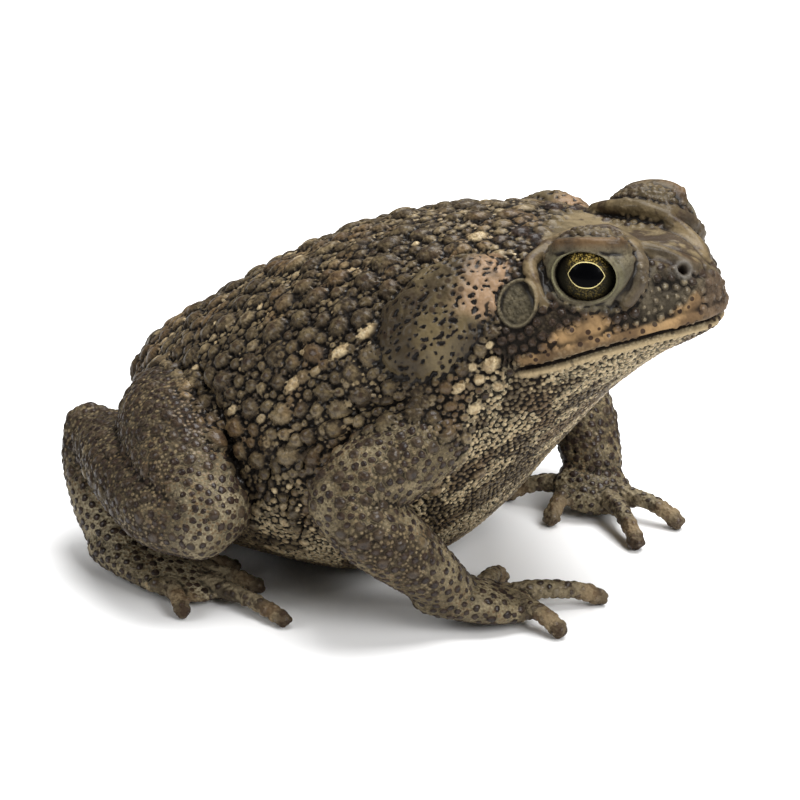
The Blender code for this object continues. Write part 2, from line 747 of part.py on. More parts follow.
def make_limbs(side, body, collection):
    arm = limb_chain(ARMS[side], side, collection, ARM_ACROSS)
    digits = [
        digit(f"finger_{k + 1}_{side}", root, tip, FINGER_RADII, FINGER_ARCH, side, collection)
        for k, (root, tip) in enumerate(FINGERS[side])
    ]
    clear_chain(body, arm, digits)
    leg = limb_chain(LEG, side, collection, LEG_ACROSS)
    digits = [
        digit(f"toe_{k + 1}_{side}", root, tip, TOE_RADII, TOE_ARCH, side, collection)
        for k, (root, tip) in enumerate(TOES)
    ]
    clear_chain(body, leg, digits)


def main():
    clear_scene()
    toad = new_collection("cane_toad")
    tools = new_collection("cutters")

    torso = make_torso(toad)
    head = make_head(toad)
    glands, eyes, drums, plugs = {}, {}, {}, []
    for side in SIDES:
        glands[side] = make_gland(side, toad)
        eyes[side], opening = make_eye(side, toad, tools)
        drums[side], seat = make_eardrum(side, toad, tools)
        plugs += [opening, seat, nostril_plug(side, tools)]
    combine(head, plugs, "DIFFERENCE")
    cut_clear(head, list(eyes.values()) + list(glands.values()))
    jaw = part_the_jaws(head, toad, tools)

    for side in SIDES:
        make_limbs(side, [torso, jaw], toad)
        cut_clear(drums[side], [glands[side]])
    cut_clear(torso, list(glands.values()))

    solids = list(toad.objects)
    for obj in solids:
        kind = "torso" if obj is torso else obj.name.rsplit("_", 1)[0]
        if kind in WARTS:
            share = torso_share if obj is torso else limb_share
            add_warts(obj, [other for other in solids if other is not obj], WARTS[kind], share)

    bpy.data.collections.remove(tools)


main()
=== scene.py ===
import math

import bmesh
import bpy
import numpy as np
from mathutils import Matrix, Vector, kdtree


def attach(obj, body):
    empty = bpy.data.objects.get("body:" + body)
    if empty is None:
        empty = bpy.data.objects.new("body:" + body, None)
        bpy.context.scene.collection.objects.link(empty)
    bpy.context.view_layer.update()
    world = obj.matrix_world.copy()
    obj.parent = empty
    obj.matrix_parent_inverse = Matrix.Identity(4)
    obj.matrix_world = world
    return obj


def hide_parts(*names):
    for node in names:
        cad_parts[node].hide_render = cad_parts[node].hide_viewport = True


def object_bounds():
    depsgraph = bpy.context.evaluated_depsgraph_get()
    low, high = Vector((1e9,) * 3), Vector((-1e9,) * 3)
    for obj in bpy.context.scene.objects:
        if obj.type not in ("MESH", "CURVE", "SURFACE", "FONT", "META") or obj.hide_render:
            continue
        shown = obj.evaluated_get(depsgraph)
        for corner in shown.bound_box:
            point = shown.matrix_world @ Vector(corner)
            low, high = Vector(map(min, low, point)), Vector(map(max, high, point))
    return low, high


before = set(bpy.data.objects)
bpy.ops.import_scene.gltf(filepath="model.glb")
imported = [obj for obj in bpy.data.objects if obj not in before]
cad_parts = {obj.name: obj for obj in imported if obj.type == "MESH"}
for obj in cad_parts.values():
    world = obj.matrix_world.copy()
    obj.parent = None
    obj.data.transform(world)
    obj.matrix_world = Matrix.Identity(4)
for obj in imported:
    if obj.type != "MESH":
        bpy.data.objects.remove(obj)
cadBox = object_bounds()
mm = 0.001
sides = {"right": -1, "left": 1}

# Sizes of the body in millimetres: x forwards, y outwards, z up

trunk = [  # x, underside, top, height of the widest place, half width, roundness of top and underside
    (-60.0, 22.0, 35.0, 29.0, 6.5, 2.0, 2.0),
    (-54.0, 11.5, 41.0, 28.0, 15.0, 2.0, 2.0),
    (-46.0, 3.5, 47.0, 26.0, 25.0, 2.0, 2.0),
    (-32.0, -0.8, 56.5, 26.0, 36.0, 2.1, 2.0),
    (-15.0, -1.2, 66.5, 27.5, 41.0, 2.1, 2.0),
    (0.0, -1.0, 72.5, 31.0, 41.5, 2.1, 2.0),
    (13.0, 4.0, 75.5, 37.0, 38.5, 2.2, 2.0),
    (24.0, 14.5, 77.0, 45.0, 34.5, 2.3, 2.0),
    (31.0, 24.0, 77.5, 51.0, 31.5, 2.4, 2.0),
    (38.0, 33.0, 77.7, 56.0, 28.5, 2.4, 2.0),
    (46.0, 43.0, 77.7, 60.0, 26.5, 2.4, 2.0),
    (53.0, 50.0, 78.1, 62.0, 22.5, 2.4, 2.0),
    (59.5, 55.5, 77.9, 63.0, 16.0, 2.5, 2.0),
    (65.0, 58.8, 75.3, 64.0, 10.3, 2.1, 2.0),
    (68.8, 61.4, 71.2, 65.5, 5.3, 2.0, 2.0),
]
rumpTip = (-61.8, 0.0, 29.0)
snoutTip = (70.6, 0.0, 66.6)
mouthLine = [  # x and z of the slit
    (30.0, 55.8), (39.0, 57.0), (46.0, 58.9), (53.0, 61.2), (59.0, 62.4), (65.0, 63.4), (76.0, 64.2),
]

eye = {
    "at": (48.5, 15.6, 74.3),
    "radius": 6.9,
    "gaze": (0.16, 0.97, 0.18),  # the way the opening between the lids faces
    "opening": (6.1, 4.8),  # its half width and half height
    "skinBehind": 0.6,  # how far the skin inside the opening lies under the ball
}
orbit = {"at": (48.7, 14.4, 74.5), "half": (10.0, 8.7, 8.4)}
eardrum = {"at": (37.2, 24.6, 69.2), "half": (3.5, 4.4), "facing": (0.15, 0.88, 0.45)}
parotoid = {
    "at": (22.3, 25.8, 63.6),
    "half": (15.5, 10.3, 7.7),
    "along": (-0.60, 0.38, -0.70),
    "facing": (0.18, 0.86, 0.47),
}
crests = {  # x, y, z and radius along each bony ridge
    "brow": [
        (37.5, 12.5, 76.8, 1.2), (42.5, 9.4, 79.0, 1.5), (49.0, 8.2, 80.2, 1.5), (54.5, 9.2, 78.8, 1.4),
    ],
    "canthus": [
        (54.6, 9.0, 78.3, 1.4), (59.4, 6.3, 77.3, 1.3), (62.3, 4.9, 76.1, 1.2), (65.0, 3.0, 74.2, 1.0),
    ],
    "beforeEye": [
        (54.4, 10.4, 79.0, 1.5), (57.6, 13.2, 76.9, 1.7), (58.4, 15.6, 73.9, 1.8), (57.0, 17.8, 70.8, 1.7),
    ],
    "behindEye": [
        (38.4, 12.8, 76.9, 1.2), (36.8, 18.0, 75.2, 1.3), (38.8, 21.2, 72.9, 1.2), (41.8, 23.3, 69.4, 1.1),
    ],
}
arms = {  # x, y, z, half width and half thickness along each limb
    "right": [
        [
            (27, 22, 45, 8.0, 8.5), (20, 32, 40, 8.2, 8.8),
            (13, 41, 33.5, 7.8, 8.6), (9.5, 45.5, 30.5, 6.6, 7.2),
        ],
        [
            (9.5, 45.5, 30.5, 7.0, 6.8), (15.0, 43, 24.5, 8.6, 7.8),
            (21.5, 37, 16, 8.0, 6.6), (26, 31.8, 9, 6.4, 5.2),
        ],
        [
            (23.5, 33.5, 8.5, 5.8, 4.6), (28, 29.6, 6.4, 6.8, 4.3),
            (32.8, 26, 4.8, 7.2, 3.7), (37.2, 23, 3.8, 5.8, 2.8),
        ],
    ],
    "left": [
        [
            (27, 22, 45, 8.0, 8.5), (20, 33, 41, 8.2, 8.8),
            (14, 42, 35, 7.8, 8.6), (12, 46.5, 31.5, 6.6, 7.2),
        ],
        [
            (12, 46.5, 31.5, 7.0, 6.8), (17.5, 46, 24.5, 8.0, 7.6),
            (23.5, 43, 16.5, 7.4, 6.6), (28, 38.5, 9.5, 6.4, 5.4),
        ],
        [
            (27, 40.5, 9.5, 5.8, 4.6), (28.4, 37.2, 7.0, 7.0, 4.3),
            (30, 34, 5.2, 8.6, 3.7), (31.4, 31.4, 4.2, 7.2, 2.8),
        ],
    ],
}
leg = [
    [
        (-44, 17, 33.5, 7.0, 8.0), (-38, 27.5, 32.0, 11.0, 12.0),
        (-28, 39.5, 27.5, 11.2, 12.0), (-20.5, 46.5, 22.5, 8.4, 9.0),
    ],
    [
        (-20.5, 48.5, 20.5, 7.0, 8.0), (-30, 46, 21.5, 8.4, 9.4),
        (-43, 37.5, 23.5, 7.8, 9.0), (-56, 27, 24.8, 5.8, 6.8),
    ],
    [
        (-59.5, 26, 25.5, 5.6, 5.8), (-58.0, 29.5, 19, 5.6, 5.6),
        (-52, 34.8, 11.2, 5.6, 5.4), (-45.5, 38.8, 6.0, 5.8, 4.6),
    ],
    [
        (-48, 37.4, 6.0, 4.6, 6.0), (-40, 39.2, 4.8, 4.0, 7.2),
        (-31.5, 39.8, 3.6, 3.2, 8.2), (-24.5, 40.0, 2.6, 1.9, 7.6),
    ],
]
fingers = {  # root and tip of each
    "right": [
        ((24.5, 23.0, 4.6), (14.6, 12.3, 1.6)),
        ((29.0, 21.0, 4.6), (27.6, 9.4, 2.0)),
        ((34.5, 20.5, 4.2), (49.3, 8.3, 1.6)),
        ((37.5, 24.0, 3.8), (47.9, 25.9, 1.6)),
    ],
    "left": [
        ((24.0, 33.5, 4.6), (11.6, 30.2, 1.6)),
        ((26.0, 31.0, 4.4), (25.2, 22.4, 1.6)),
        ((35.0, 31.0, 4.4), (46.2, 19.4, 1.6)),
        ((36.5, 34.0, 4.4), (50.0, 32.8, 1.6)),
    ],
}
toes = [
    ((-40.0, 35.5, 3.6), (-33.5, 27.5, 1.5)),
    ((-35.0, 35.0, 3.2), (-24.5, 28.5, 1.5)),
    ((-28.0, 37.0, 3.0), (-15.6, 34.6, 1.6)),
    ((-24.0, 40.5, 2.8), (-3.6, 45.7, 1.6)),
    ((-31.0, 44.0, 2.8), (-23.8, 51.2, 1.6)),
]
digitShape = {
    "finger": {"radii": (2.6, 1.9, 1.75, 1.9), "arch": 1.9},
    "toe": {"radii": (2.4, 1.8, 1.6, 1.7), "arch": 1.3},
}
bends = ((0.35, 0.8), (0.75, 0.75))  # where a digit bends along its length, and how much of the arch is there


def put(point, side):
    return Vector((point[0], sides[side] * point[1], point[2]))


def smoothRows(rows, steps):
    # a smooth curve through rows of numbers
    rows = [list(map(float, row)) for row in rows]
    padded = [rows[0]] + rows + [rows[-1]]
    made = []

    def curveAt(p, q, r, s, t):
        square, cube = 2 * p - 5 * q + 4 * r - s, 3 * q - p - 3 * r + s
        return 0.5 * (2 * q + (r - p) * t + square * t * t + cube * t**3)

    for i in range(1, len(padded) - 2):
        for k in range(steps):
            made.append([curveAt(*column, k / steps) for column in zip(*padded[i - 1 : i + 3])])
    made.append(rows[-1])
    return made


def addLoft(bm, rings, start, end):
    rows = [[bm.verts.new([c * mm for c in point]) for point in ring] for ring in rings]
    for low, high in zip(rows, rows[1:]):
        for k in range(len(low)):
            n = (k + 1) % len(low)
            bm.faces.new((low[k], low[n], high[n], high[k]))
    for row, tip in ((rows[0], start), (rows[-1], end)):
        point = bm.verts.new([c * mm for c in tip])
        for k in range(len(row)):
            bm.faces.new((row[k], row[(k + 1) % len(row)], point))


def trunkRing(row, points):
    x, low, high, wide, half, topPower, lowPower = row
    ring = []
    for k in range(points):
        angle = 2 * math.pi * k / points
        up, across = math.cos(angle), math.sin(angle)
        power = topPower if up > 0 else lowPower
        reach = high - wide if up > 0 else wide - low
        ring.append((
            x,
            half * math.copysign(abs(across) ** (2 / power), across),
            wide + reach * math.copysign(abs(up) ** (2 / power), up),
        ))
    return ring


def addLimb(bm, stations, side, across, points=36):
    # oval sections along a curve, with a dome of four rings at each end
    rows = smoothRows(stations, 6)
    centres = [put(row, side) for row in rows]
    across = put(across, side)
    rings, tips = [], []
    last = len(rows) - 1
    for i, (centre, row) in enumerate(zip(centres, rows)):
        along = (centres[min(i + 1, last)] - centres[max(i - 1, 0)]).normalized()
        wide = (across - along * across.dot(along)).normalized()
        tall = along.cross(wide)
        reach = 0.9 * (row[3] + row[4]) / 2  # how far the dome stands out
        levels = [(0.0, 1.0)]
        if i in (0, last):
            way = -1 if i == 0 else 1
            domes = [(way * reach * math.sin(a), math.cos(a)) for a in (0.35, 0.7, 1.05, 1.35)]
            levels = list(reversed(domes)) + levels if i == 0 else levels + domes
            tips.append(centre + along * way * reach)
        for out, share in levels:
            middle = centre + along * out
            rings.append([
                middle + wide * (row[3] * share * math.cos(a)) + tall * (row[4] * share * math.sin(a))
                for a in (2 * math.pi * k / points for k in range(points))
            ])
    addLoft(bm, rings, tips[0], tips[1])


def addRod(bm, line, radii, side):
    rows = [(*point[:3], radius, radius) for point, radius in zip(line, radii)]
    addLimb(bm, rows, side, (0.13, 0.21, 0.97), 20)  # a way that no rod runs


def turnedTo(facing, along=None):
    z = Vector(facing).normalized()
    x = Vector(along) if along else Vector((0, 0, 1)).cross(z)
    x = (x - z * x.dot(z)).normalized()
    return Matrix((x, z.cross(x), z)).transposed()


def addBall(bm, centre, half, turn):
    size = Matrix.Diagonal((*[h * mm for h in half], 1.0))
    place = Matrix.Translation(Vector(centre) * mm) @ turn.to_4x4() @ size
    bmesh.ops.create_uvsphere(bm, u_segments=48, v_segments=32, radius=1.0, matrix=place)


def bodyMesh():
    # every form of the body as closed surfaces that overlap, ready to be fused
    bm = bmesh.new()
    addLoft(bm, [trunkRing(row, 96) for row in smoothRows(trunk, 8)], rumpTip, snoutTip)
    for side in sides:
        addBall(bm, put(orbit["at"], side), orbit["half"], Matrix.Identity(3))
        turn = turnedTo(put(parotoid["facing"], side), put(parotoid["along"], side))
        addBall(bm, put(parotoid["at"], side), parotoid["half"], turn)
        for line in crests.values():
            addRod(bm, line, [row[3] for row in line], side)
        for piece in arms[side]:
            addLimb(bm, piece, side, (0.70, 0.70, 0.0))
        for piece in leg:
            addLimb(bm, piece, side, (0.0, 0.0, 1.0))
        for kind, digits in (("finger", fingers[side]), ("toe", toes)):
            shape = digitShape[kind]
            for root, tip in digits:
                a, b = Vector(root), Vector(tip)
                joints = [a + (b - a) * far + Vector((0, 0, shape["arch"] * rise)) for far, rise in bends]
                addRod(bm, [a, *joints, b], shape["radii"], side)
    mesh = bpy.data.meshes.new("toad_skin")
    bmesh.ops.recalc_face_normals(bm, faces=bm.faces)
    bm.to_mesh(mesh)
    bm.free()
    return mesh


def fused(mesh, voxel, rounds):
    # one closed surface of even faces, with its joins softened
    obj = bpy.data.objects.new("toad_skin", mesh)
    bpy.context.scene.collection.objects.link(obj)
    remesh = obj.modifiers.new("fuse", "REMESH")
    remesh.mode = "VOXEL"
    remesh.voxel_size = voxel * mm
    soften = obj.modifiers.new("soften", "SMOOTH")
    soften.factor = 0.5
    soften.iterations = rounds
    graph = bpy.context.evaluated_depsgraph_get()
    made = bpy.data.meshes.new_from_object(obj.evaluated_get(graph), depsgraph=graph)
    obj.modifiers.clear()
    obj.data = made
    return obj


def ramp(low, high, value):
    # 0 below low and 1 above high, smooth between
    t = np.clip((value - low) / (high - low), 0.0, 1.0)
    return t * t * (3 - 2 * t)


def bell(value, middle, width):
    return np.exp(-(((value - middle) / width) ** 2))


def waves(points, scale, seed):
    # soft noise from about -1 to 1, a sum of waves in random directions
    draw = np.random.default_rng(seed)
    total = np.zeros(len(points))
    for _ in range(9):
        way = draw.normal(size=3)
        way *= draw.uniform(0.6, 1.6) / np.linalg.norm(way)
        total += np.sin(points @ way * 2 * math.pi / scale + draw.uniform(0, 6.28))
    return total / 3.4


def localTo(points, centre, turn):
    return (points - np.array(centre)) @ np.array(turn)


def ovalFrom(points, centre, half):
    # 1 on the surface of an oval form, less inside it
    return np.linalg.norm((points - np.array(centre)) / np.array(half), axis=1)


def alongLine(points, line):
    # distance of each point from a line of places
    best = np.full(len(points), 1e9)
    for a, b in zip(line, line[1:]):
        a, b = np.array(a, float), np.array(b, float)
        t = np.clip((points - a) @ (b - a) / ((b - a) @ (b - a)), 0, 1)
        best = np.minimum(best, np.linalg.norm(points - a - t[:, None] * (b - a), axis=1))
    return best


print("fusing the body")
pace = "full"
skinShape = {
    "voxel": {"full": 0.3, "quick": 0.55},  # size of the even faces
    "softenRounds": {"full": 18, "quick": 3},
    "hollowRounds": {"full": 16, "quick": 8},  # how far around a point its hollow is read, for the shade painted into the hollows
    "edgeBand": 1.5,  # the depth within the outer box over which warts are pressed back into it
}
voxel = skinShape["voxel"][pace]
skin = fused(bodyMesh(), voxel, skinShape["softenRounds"][pace])
mesh = skin.data
count = len(mesh.vertices)
edges = np.empty(len(mesh.edges) * 2, np.int32)
mesh.edges.foreach_get("vertices", edges)
edges = edges.reshape(-1, 2)
valence = np.bincount(edges.ravel(), minlength=count)
print("skin vertices", count)


def readPoints():
    flat = np.empty(count * 3, np.float32)
    mesh.vertices.foreach_get("co", flat)
    return flat.reshape(-1, 3).astype(float) / mm


def readNormals():
    flat = np.empty(count * 3, np.float32)
    mesh.vertices.foreach_get("normal", flat)
    return flat.reshape(-1, 3).astype(float)


def writePoints(points):
    points[:, 2] = np.maximum(points[:, 2], 0.0)
    mesh.vertices.foreach_set("co", (points * mm).astype(np.float32).ravel())
    mesh.update()


def averaged(values, rounds):
    # each vertex takes the mean of its neighbours, again and again
    for _ in range(rounds):
        first = np.bincount(edges[:, 0], values[edges[:, 1]], count)
        second = np.bincount(edges[:, 1], values[edges[:, 0]], count)
        values = (first + second) / valence
    return values


def keep(name, values):
    layer = mesh.attributes.new(name, "FLOAT", "POINT")
    layer.data.foreach_set("value", np.clip(values, 0, 1).astype(np.float32))


points = readPoints()
normals = readNormals()
x, z = points[:, 0], points[:, 2]
out = np.abs(points[:, 1])
mirror = np.where(points[:, 1] < 0, -1.0, 1.0)
folded = np.column_stack([x, out, z])  # both halves laid on the left one
foldedNormals = normals * np.column_stack([np.ones(count), mirror, np.ones(count)])

# Where each point is on the body

columns = np.array(smoothRows(trunk, 8)).T
low, high, wide, half = (np.interp(x, columns[0], columns[k]) for k in range(1, 5))
reach = np.where(z > wide, high - wide, wide - low)
spread = np.sqrt((out / half) ** 2 + ((z - wide) / reach) ** 2)  # 1 on the trunk, more out on a limb
mouthZ = np.interp(x, *np.array(smoothRows(mouthLine, 6)).T)
mouthGap = z - mouthZ
head = ramp(30, 36, x) * ramp(44, 52, z)
orbitNear = 1 - ramp(1.0, 1.25, ovalFrom(folded, orbit["at"], orbit["half"]))
glandTurn = turnedTo(parotoid["facing"], parotoid["along"])
glandOut = ovalFrom(localTo(folded, parotoid["at"], glandTurn), (0, 0, 0), parotoid["half"])
drumAcross, drumUp, drumForward = localTo(folded, eardrum["at"], turnedTo(eardrum["facing"])).T
drumRing = np.sqrt((drumAcross / eardrum["half"][0]) ** 2 + (drumUp / eardrum["half"][1]) ** 2)
drumRing = np.where(np.abs(drumForward) < 6, drumRing, 9.0)  # not on what lies behind or before it
gland = (1 - ramp(1.03, 1.12, glandOut + 0.035 * waves(folded, 7, 21))) * ramp(1.12, 1.3, drumRing)
limbAway = np.full(count, 9.0)
for side in sides:
    for piece in arms[side] + leg:
        girth = np.mean([row[3:] for row in piece])
        limbAway = np.minimum(limbAway, alongLine(points, [put(row, side) for row in piece]) / girth)
bones = [[put(end, side) for end in digit] for side in sides for digit in fingers[side] + toes]
digitAway = np.min([alongLine(points, bone) for bone in bones], axis=0)
onLimb = np.maximum(1 - ramp(1.35, 1.6, limbAway), 1 - ramp(3.5, 4.5, digitAway))
limb = ramp(1.02, 1.10, spread) * onLimb * (1 - head) * (1 - gland) * (1 - ramp(60, 64, z))
depth = (wide - z) / (wide - low)
under = ramp(0.1, 0.55, depth + 0.18 * waves(folded, 16, 22)) * (1 - limb) * (1 - head)
chin = head * (1 - ramp(-3.0, -1.4, mouthGap))
throat = np.maximum(chin, ramp(24, 32, x) * ramp(-0.2, 0.2, depth) * (1 - limb))
under = np.maximum(under, throat)
top = ramp(0.05, 0.5, -depth) * (1 - limb)
crown = head * ramp(0.45, 0.75, normals[:, 2]) * (1 - orbitNear) * (1 - ramp(9.5, 12, out))
snout = head * ramp(55, 60, x) * (1 - throat) * (1 - crown)
back = top * (1 - head) * (1 - gland)
cheek = head * (1 - crown) * (1 - throat) * (1 - snout) * (1 - orbitNear)
flank = (1 - top) * (1 - under) * (1 - limb) * (1 - head) * (1 - gland)
paw = limb * (1 - ramp(8.0, 12.0, z))
kneeCap = limb * bell(x, -17, 10) * (1 - ramp(30, 38, z)) * ramp(0, 0.6, foldedNormals[:, 0] + 0.5)

# Forms of the face: lids, mouth, nostril, eardrum and the hollows between the crests

eyelid = {  # rings around the eye: size as a share of the opening, half width, height in millimetres
    "rim": (1.06, 0.03, 0.18),
    "fold": (1.20, 0.05, -0.22),
    "lowFold": (1.48, 0.08, -0.25),
}
brow = {
    "height": 6.3,  # of its line above the middle of the eye
    "bow": 0.015,  # how fast the line falls to both sides
    "slant": 0.09,
    "span": (5.5, 8.6),  # where the brow starts to fade, and where it ends
    "ridge": (0.0, 0.85, 1.3),  # place above the line, half width, height
    "foldAbove": (1.5, 0.4, -0.35),
    "foldBelow": (-1.5, 0.45, -0.4),
}
lips = {  # place above the slit, half width, height
    "upper": (1.6, 1.0, 0.75),
    "lower": (-1.15, 0.7, 0.55),
    "slit": (0.0, 0.5, -1.1),
}
nostril = {  # its middle, then distance from there, half width, height
    "at": (64.1, 6.3, 74.3),
    "rim": (1.55, 0.5, 0.45),
    "pit": (0.0, 0.75, -1.9),
}
drumShape = {  # distance from its middle as a share of its size, half width, height
    "rim": (1.06, 0.05, 0.28),
    "boss": (0.0, 0.5, 0.25),
    "groove": (1.22, 0.07, -0.3),
    "sunk": 0.22,
}
crestShape = {  # distance from a crest's line, half width, height
    "ridge": (0.0, 1.3, 0.35),
    "beforeEye": (0.0, 1.2, 0.6),
    # the groove beside a crest, also darkened in colour as painted shade
    "shadedGroove": (2.4, 0.5, -0.3),
}
crownDip = {"along": (50.0, 12.0, -0.7), "sides": (4.5, 8.0)}  # x, half length and height; where it ends
lorealPit = {"at": (61.5, 10.5, 72.6), "half": (3.6, 3.0, 2.4), "form": (0.0, 1.0, -1.1)}
move = np.zeros(count)


def form(value, row, where=1.0):
    # raises a rounded ridge, or sinks a groove, where a measure passes its middle, and gives its strength
    middle, width, height = row
    strength = bell(value, middle, width) * where
    move[:] += height * strength
    return strength


eyeTurn = turnedTo(eye["gaze"])
across, upward, forward = localTo(folded, eye["at"], eyeTurn).T
wideOpen, tallOpen = eye["opening"]
lidRing = np.sqrt((across / wideOpen) ** 2 + (upward / tallOpen) ** 2)
front = ramp(0.5, 2.0, forward)
ballFront = np.sqrt(np.maximum(eye["radius"] ** 2 - across**2 - upward**2, 0.0))
opening = (1 - ramp(0.95, 1.05, lidRing)) * front
inward = np.minimum(ballFront - eye["skinBehind"] - forward, 0.0) * opening
pull = inward[:, None] * np.array(eyeTurn).T[2]
pull[:, 1] *= mirror
form(lidRing, eyelid["rim"], front)
form(lidRing, eyelid["fold"], front)
form(lidRing, eyelid["lowFold"], front * (1 - ramp(-1.0, 1.5, upward)))
aboveBrow = upward - (brow["height"] - brow["bow"] * across**2 - brow["slant"] * across)
browSpan = front * (1 - ramp(*brow["span"], np.abs(across)))
browRidge = form(aboveBrow, brow["ridge"], browSpan)
browFold = form(aboveBrow, brow["foldAbove"], browSpan)
form(aboveBrow, brow["foldBelow"], browSpan)

onMouth = ramp(37.5, 41.0, x) * ramp(0.25, 0.6, foldedNormals[:, 1] + foldedNormals[:, 0])
upperLip = form(mouthGap, lips["upper"], onMouth)
lowerLip = form(mouthGap, lips["lower"], onMouth)
mouth = form(mouthGap, lips["slit"], onMouth)

fromNostril = np.linalg.norm(folded - np.array(nostril["at"]), axis=1)
nostrilRim = form(fromNostril, nostril["rim"])
nostrilPit = form(fromNostril, nostril["pit"])

drum = 1 - ramp(0.95, 1.02, drumRing)
drumRim = form(drumRing, drumShape["rim"])
move -= drumShape["sunk"] * drum
form(drumRing, drumShape["boss"])
form(drumRing, drumShape["groove"])

crestLines = {name: [row[:3] for row in line] for name, line in crests.items()}
crestAway = np.min([alongLine(folded, line) for line in crestLines.values()], axis=0)
beforeEyeAway = alongLine(folded, crestLines["beforeEye"])
crest = (1 - ramp(1.6, 2.4, crestAway)) * head
ridge = form(crestAway, crestShape["ridge"], head)
form(beforeEyeAway, crestShape["beforeEye"])
# grooves beside the crests; their strength also sets painted shade in the skin
shadedGroove = form(crestAway, crestShape["shadedGroove"], head * (1 - gland) * ramp(1.15, 1.35, drumRing))
form(x, crownDip["along"], crown * (1 - ramp(*crownDip["sides"], out)))
form(ovalFrom(folded, lorealPit["at"], lorealPit["half"]), lorealPit["form"])

folds = [  # places along a crease, its depth and its half width
    ([(-30, 30, 45), (-24, 36, 42.5), (-20.5, 39, 38), (-17, 41, 33), (-15, 42, 27)], 1.3, 1.1),
    ([(-2, 40, 41), (6, 39, 45), (14, 37, 48), (22, 35, 51)], 0.8, 0.8),
    ([(-4, 41, 36.5), (3, 41, 40), (8, 40, 42)], 0.6, 0.8),
    ([(24, 36, 54), (30, 32.5, 57), (34.5, 29.5, 59.5), (38, 28.2, 58)], 0.5, 0.6),
    ([(22, 27, 12), (26, 33, 13), (22, 39, 13)], 0.5, 0.5),
    ([(14, 47, 22), (10, 49, 27)], 0.5, 0.8),
]
for line, deep, width in folds:
    move -= deep * bell(alongLine(folded, line), 0, width)
flankCrease = {"across": (-0.73, -0.33, 0.56), "spacing": 5.2, "waver": 1.1, "width": 0.24, "depth": 0.9}
acrossRow = folded @ np.array(flankCrease["across"])
rowPhase = math.pi * acrossRow / flankCrease["spacing"] + flankCrease["waver"] * waves(folded, 17, 55)
creased = bell(np.sin(rowPhase), 0, flankCrease["width"])
creased *= flank * (1 - ramp(12, 22, x)) * ramp(-0.3, 0.5, waves(folded, 12, 56) + 0.3)
move -= flankCrease["depth"] * creased
jawPleats = {"line": [(34.6, 29.6, 58.6), (38.2, 28.6, 58.2)], "reach": 1.5, "height": 0.25, "spacing": 0.95}
pleats = bell(alongLine(folded, jawPleats["line"]), 0, jawPleats["reach"])
move += jawPleats["height"] * pleats * np.sin(x * 2 * math.pi / jawPleats["spacing"])

points = points + pull + normals * move[:, None]
writePoints(points)
normals = readNormals()
print("face formed")

# Warts: seeds on the skin, large ones first, each kept clear of those before it

tree = kdtree.KDTree(count)
for i, point in enumerate(points):
    tree.insert(point, i)
tree.balance()
draw = np.random.default_rng(11)
lids = orbitNear * (1 - ramp(1.55, 1.8, lidRing)) * front * (1 - ramp(1.0, 1.6, aboveBrow))
lip = np.clip(upperLip + lowerLip + mouth, 0, 1)
nose = np.clip(nostrilRim + nostrilPit, 0, 1)
bare = np.clip(lids + 1 - ramp(1.15, 1.3, drumRing) + 1.5 * nose + 1.4 * lip + crest, 0, 1)
patch = ramp(-0.25, 0.35, waves(folded, 15, 31) + 0.4 * waves(folded, 6, 32))  # 1 in pale places
ragged = mouthGap + 0.7 * waves(folded, 5, 33)
lipPale = {  # the pale band over the mouth: x, height there, and a dark spot in it
    "x": (41, 47, 53, 56.5, 59, 64, 67, 69),
    "top": (1.6, 6.4, 7.2, 4.6, 3.0, 3.6, 7.0, 4.0),
    "spot": (56.2, 4.4, 1.5),  # x, height over the slit, radius
    "spotDark": 0.85,
}
lipTop = np.interp(x, lipPale["x"], lipPale["top"])
lipBand = (cheek + snout) * ramp(0.0, 0.5, mouthGap) * (1 - ramp(-1.0, 1.0, ragged - lipTop))
lipBand *= ramp(40, 42.5, x) * (1 - ramp(67.5, 69.5, x))
spotX, spotUp, spotSize = lipPale["spot"]
fromSpot = np.hypot(x - spotX, mouthGap - spotUp + 0.3 * waves(folded, 2, 34))
lipBand *= 1 - lipPale["spotDark"] * bell(fromSpot, 0, spotSize)

marked = [  # warts that stand out in one place: x, y, z, radius, stretch, paleness, cap
    (11.6, 29.2, 64.4, 1.3, 1.9, 1.0, 0.0), (8.2, 31.4, 60.6, 1.5, 2.1, 1.0, 0.0),
    (3.6, 34.2, 56.6, 1.6, 2.0, 1.0, 0.0), (-0.8, 36.4, 52.6, 1.2, 1.7, 0.8, 0.0),
    (-5.2, 38.2, 49.6, 1.5, 2.0, 1.0, 0.0), (-11.4, 40.0, 42.0, 1.2, 1.6, 0.85, 0.0),
    (-12.6, 37.6, 47.5, 1.4, 1.2, 0.75, 0.0), (-19.0, 38.5, 41.5, 1.3, 1.5, 0.9, 0.0),
    (34.2, 29.8, 57.6, 1.7, 1.4, 1.0, 0.0), (33.6, 29.6, 61.4, 0.9, 1.2, 0.9, 0.0),
    (32.0, 30.8, 54.6, 1.3, 1.2, 1.0, 0.0), (35.6, 29.6, 53.2, 1.2, 1.2, 0.9, 0.0),
    (31.0, 31.6, 57.4, 1.1, 1.2, 0.9, 0.0), (28.6, 32.8, 53.0, 1.4, 1.4, 0.9, 0.0),
    (30.4, 8.2, 77.0, 2.2, 1.1, 0.0, 1.0), (34.0, 9.4, 77.4, 1.6, 1.1, 0.0, 1.0),
    (27.6, 11.6, 76.4, 1.8, 1.1, 0.1, 0.6), (33.4, 13.8, 76.6, 1.3, 1.1, 0.2, 0.6),
]
between = flank * (1 - 0.9 * creased)
digitNear = 1 - ramp(2.4, 3.6, digitAway)
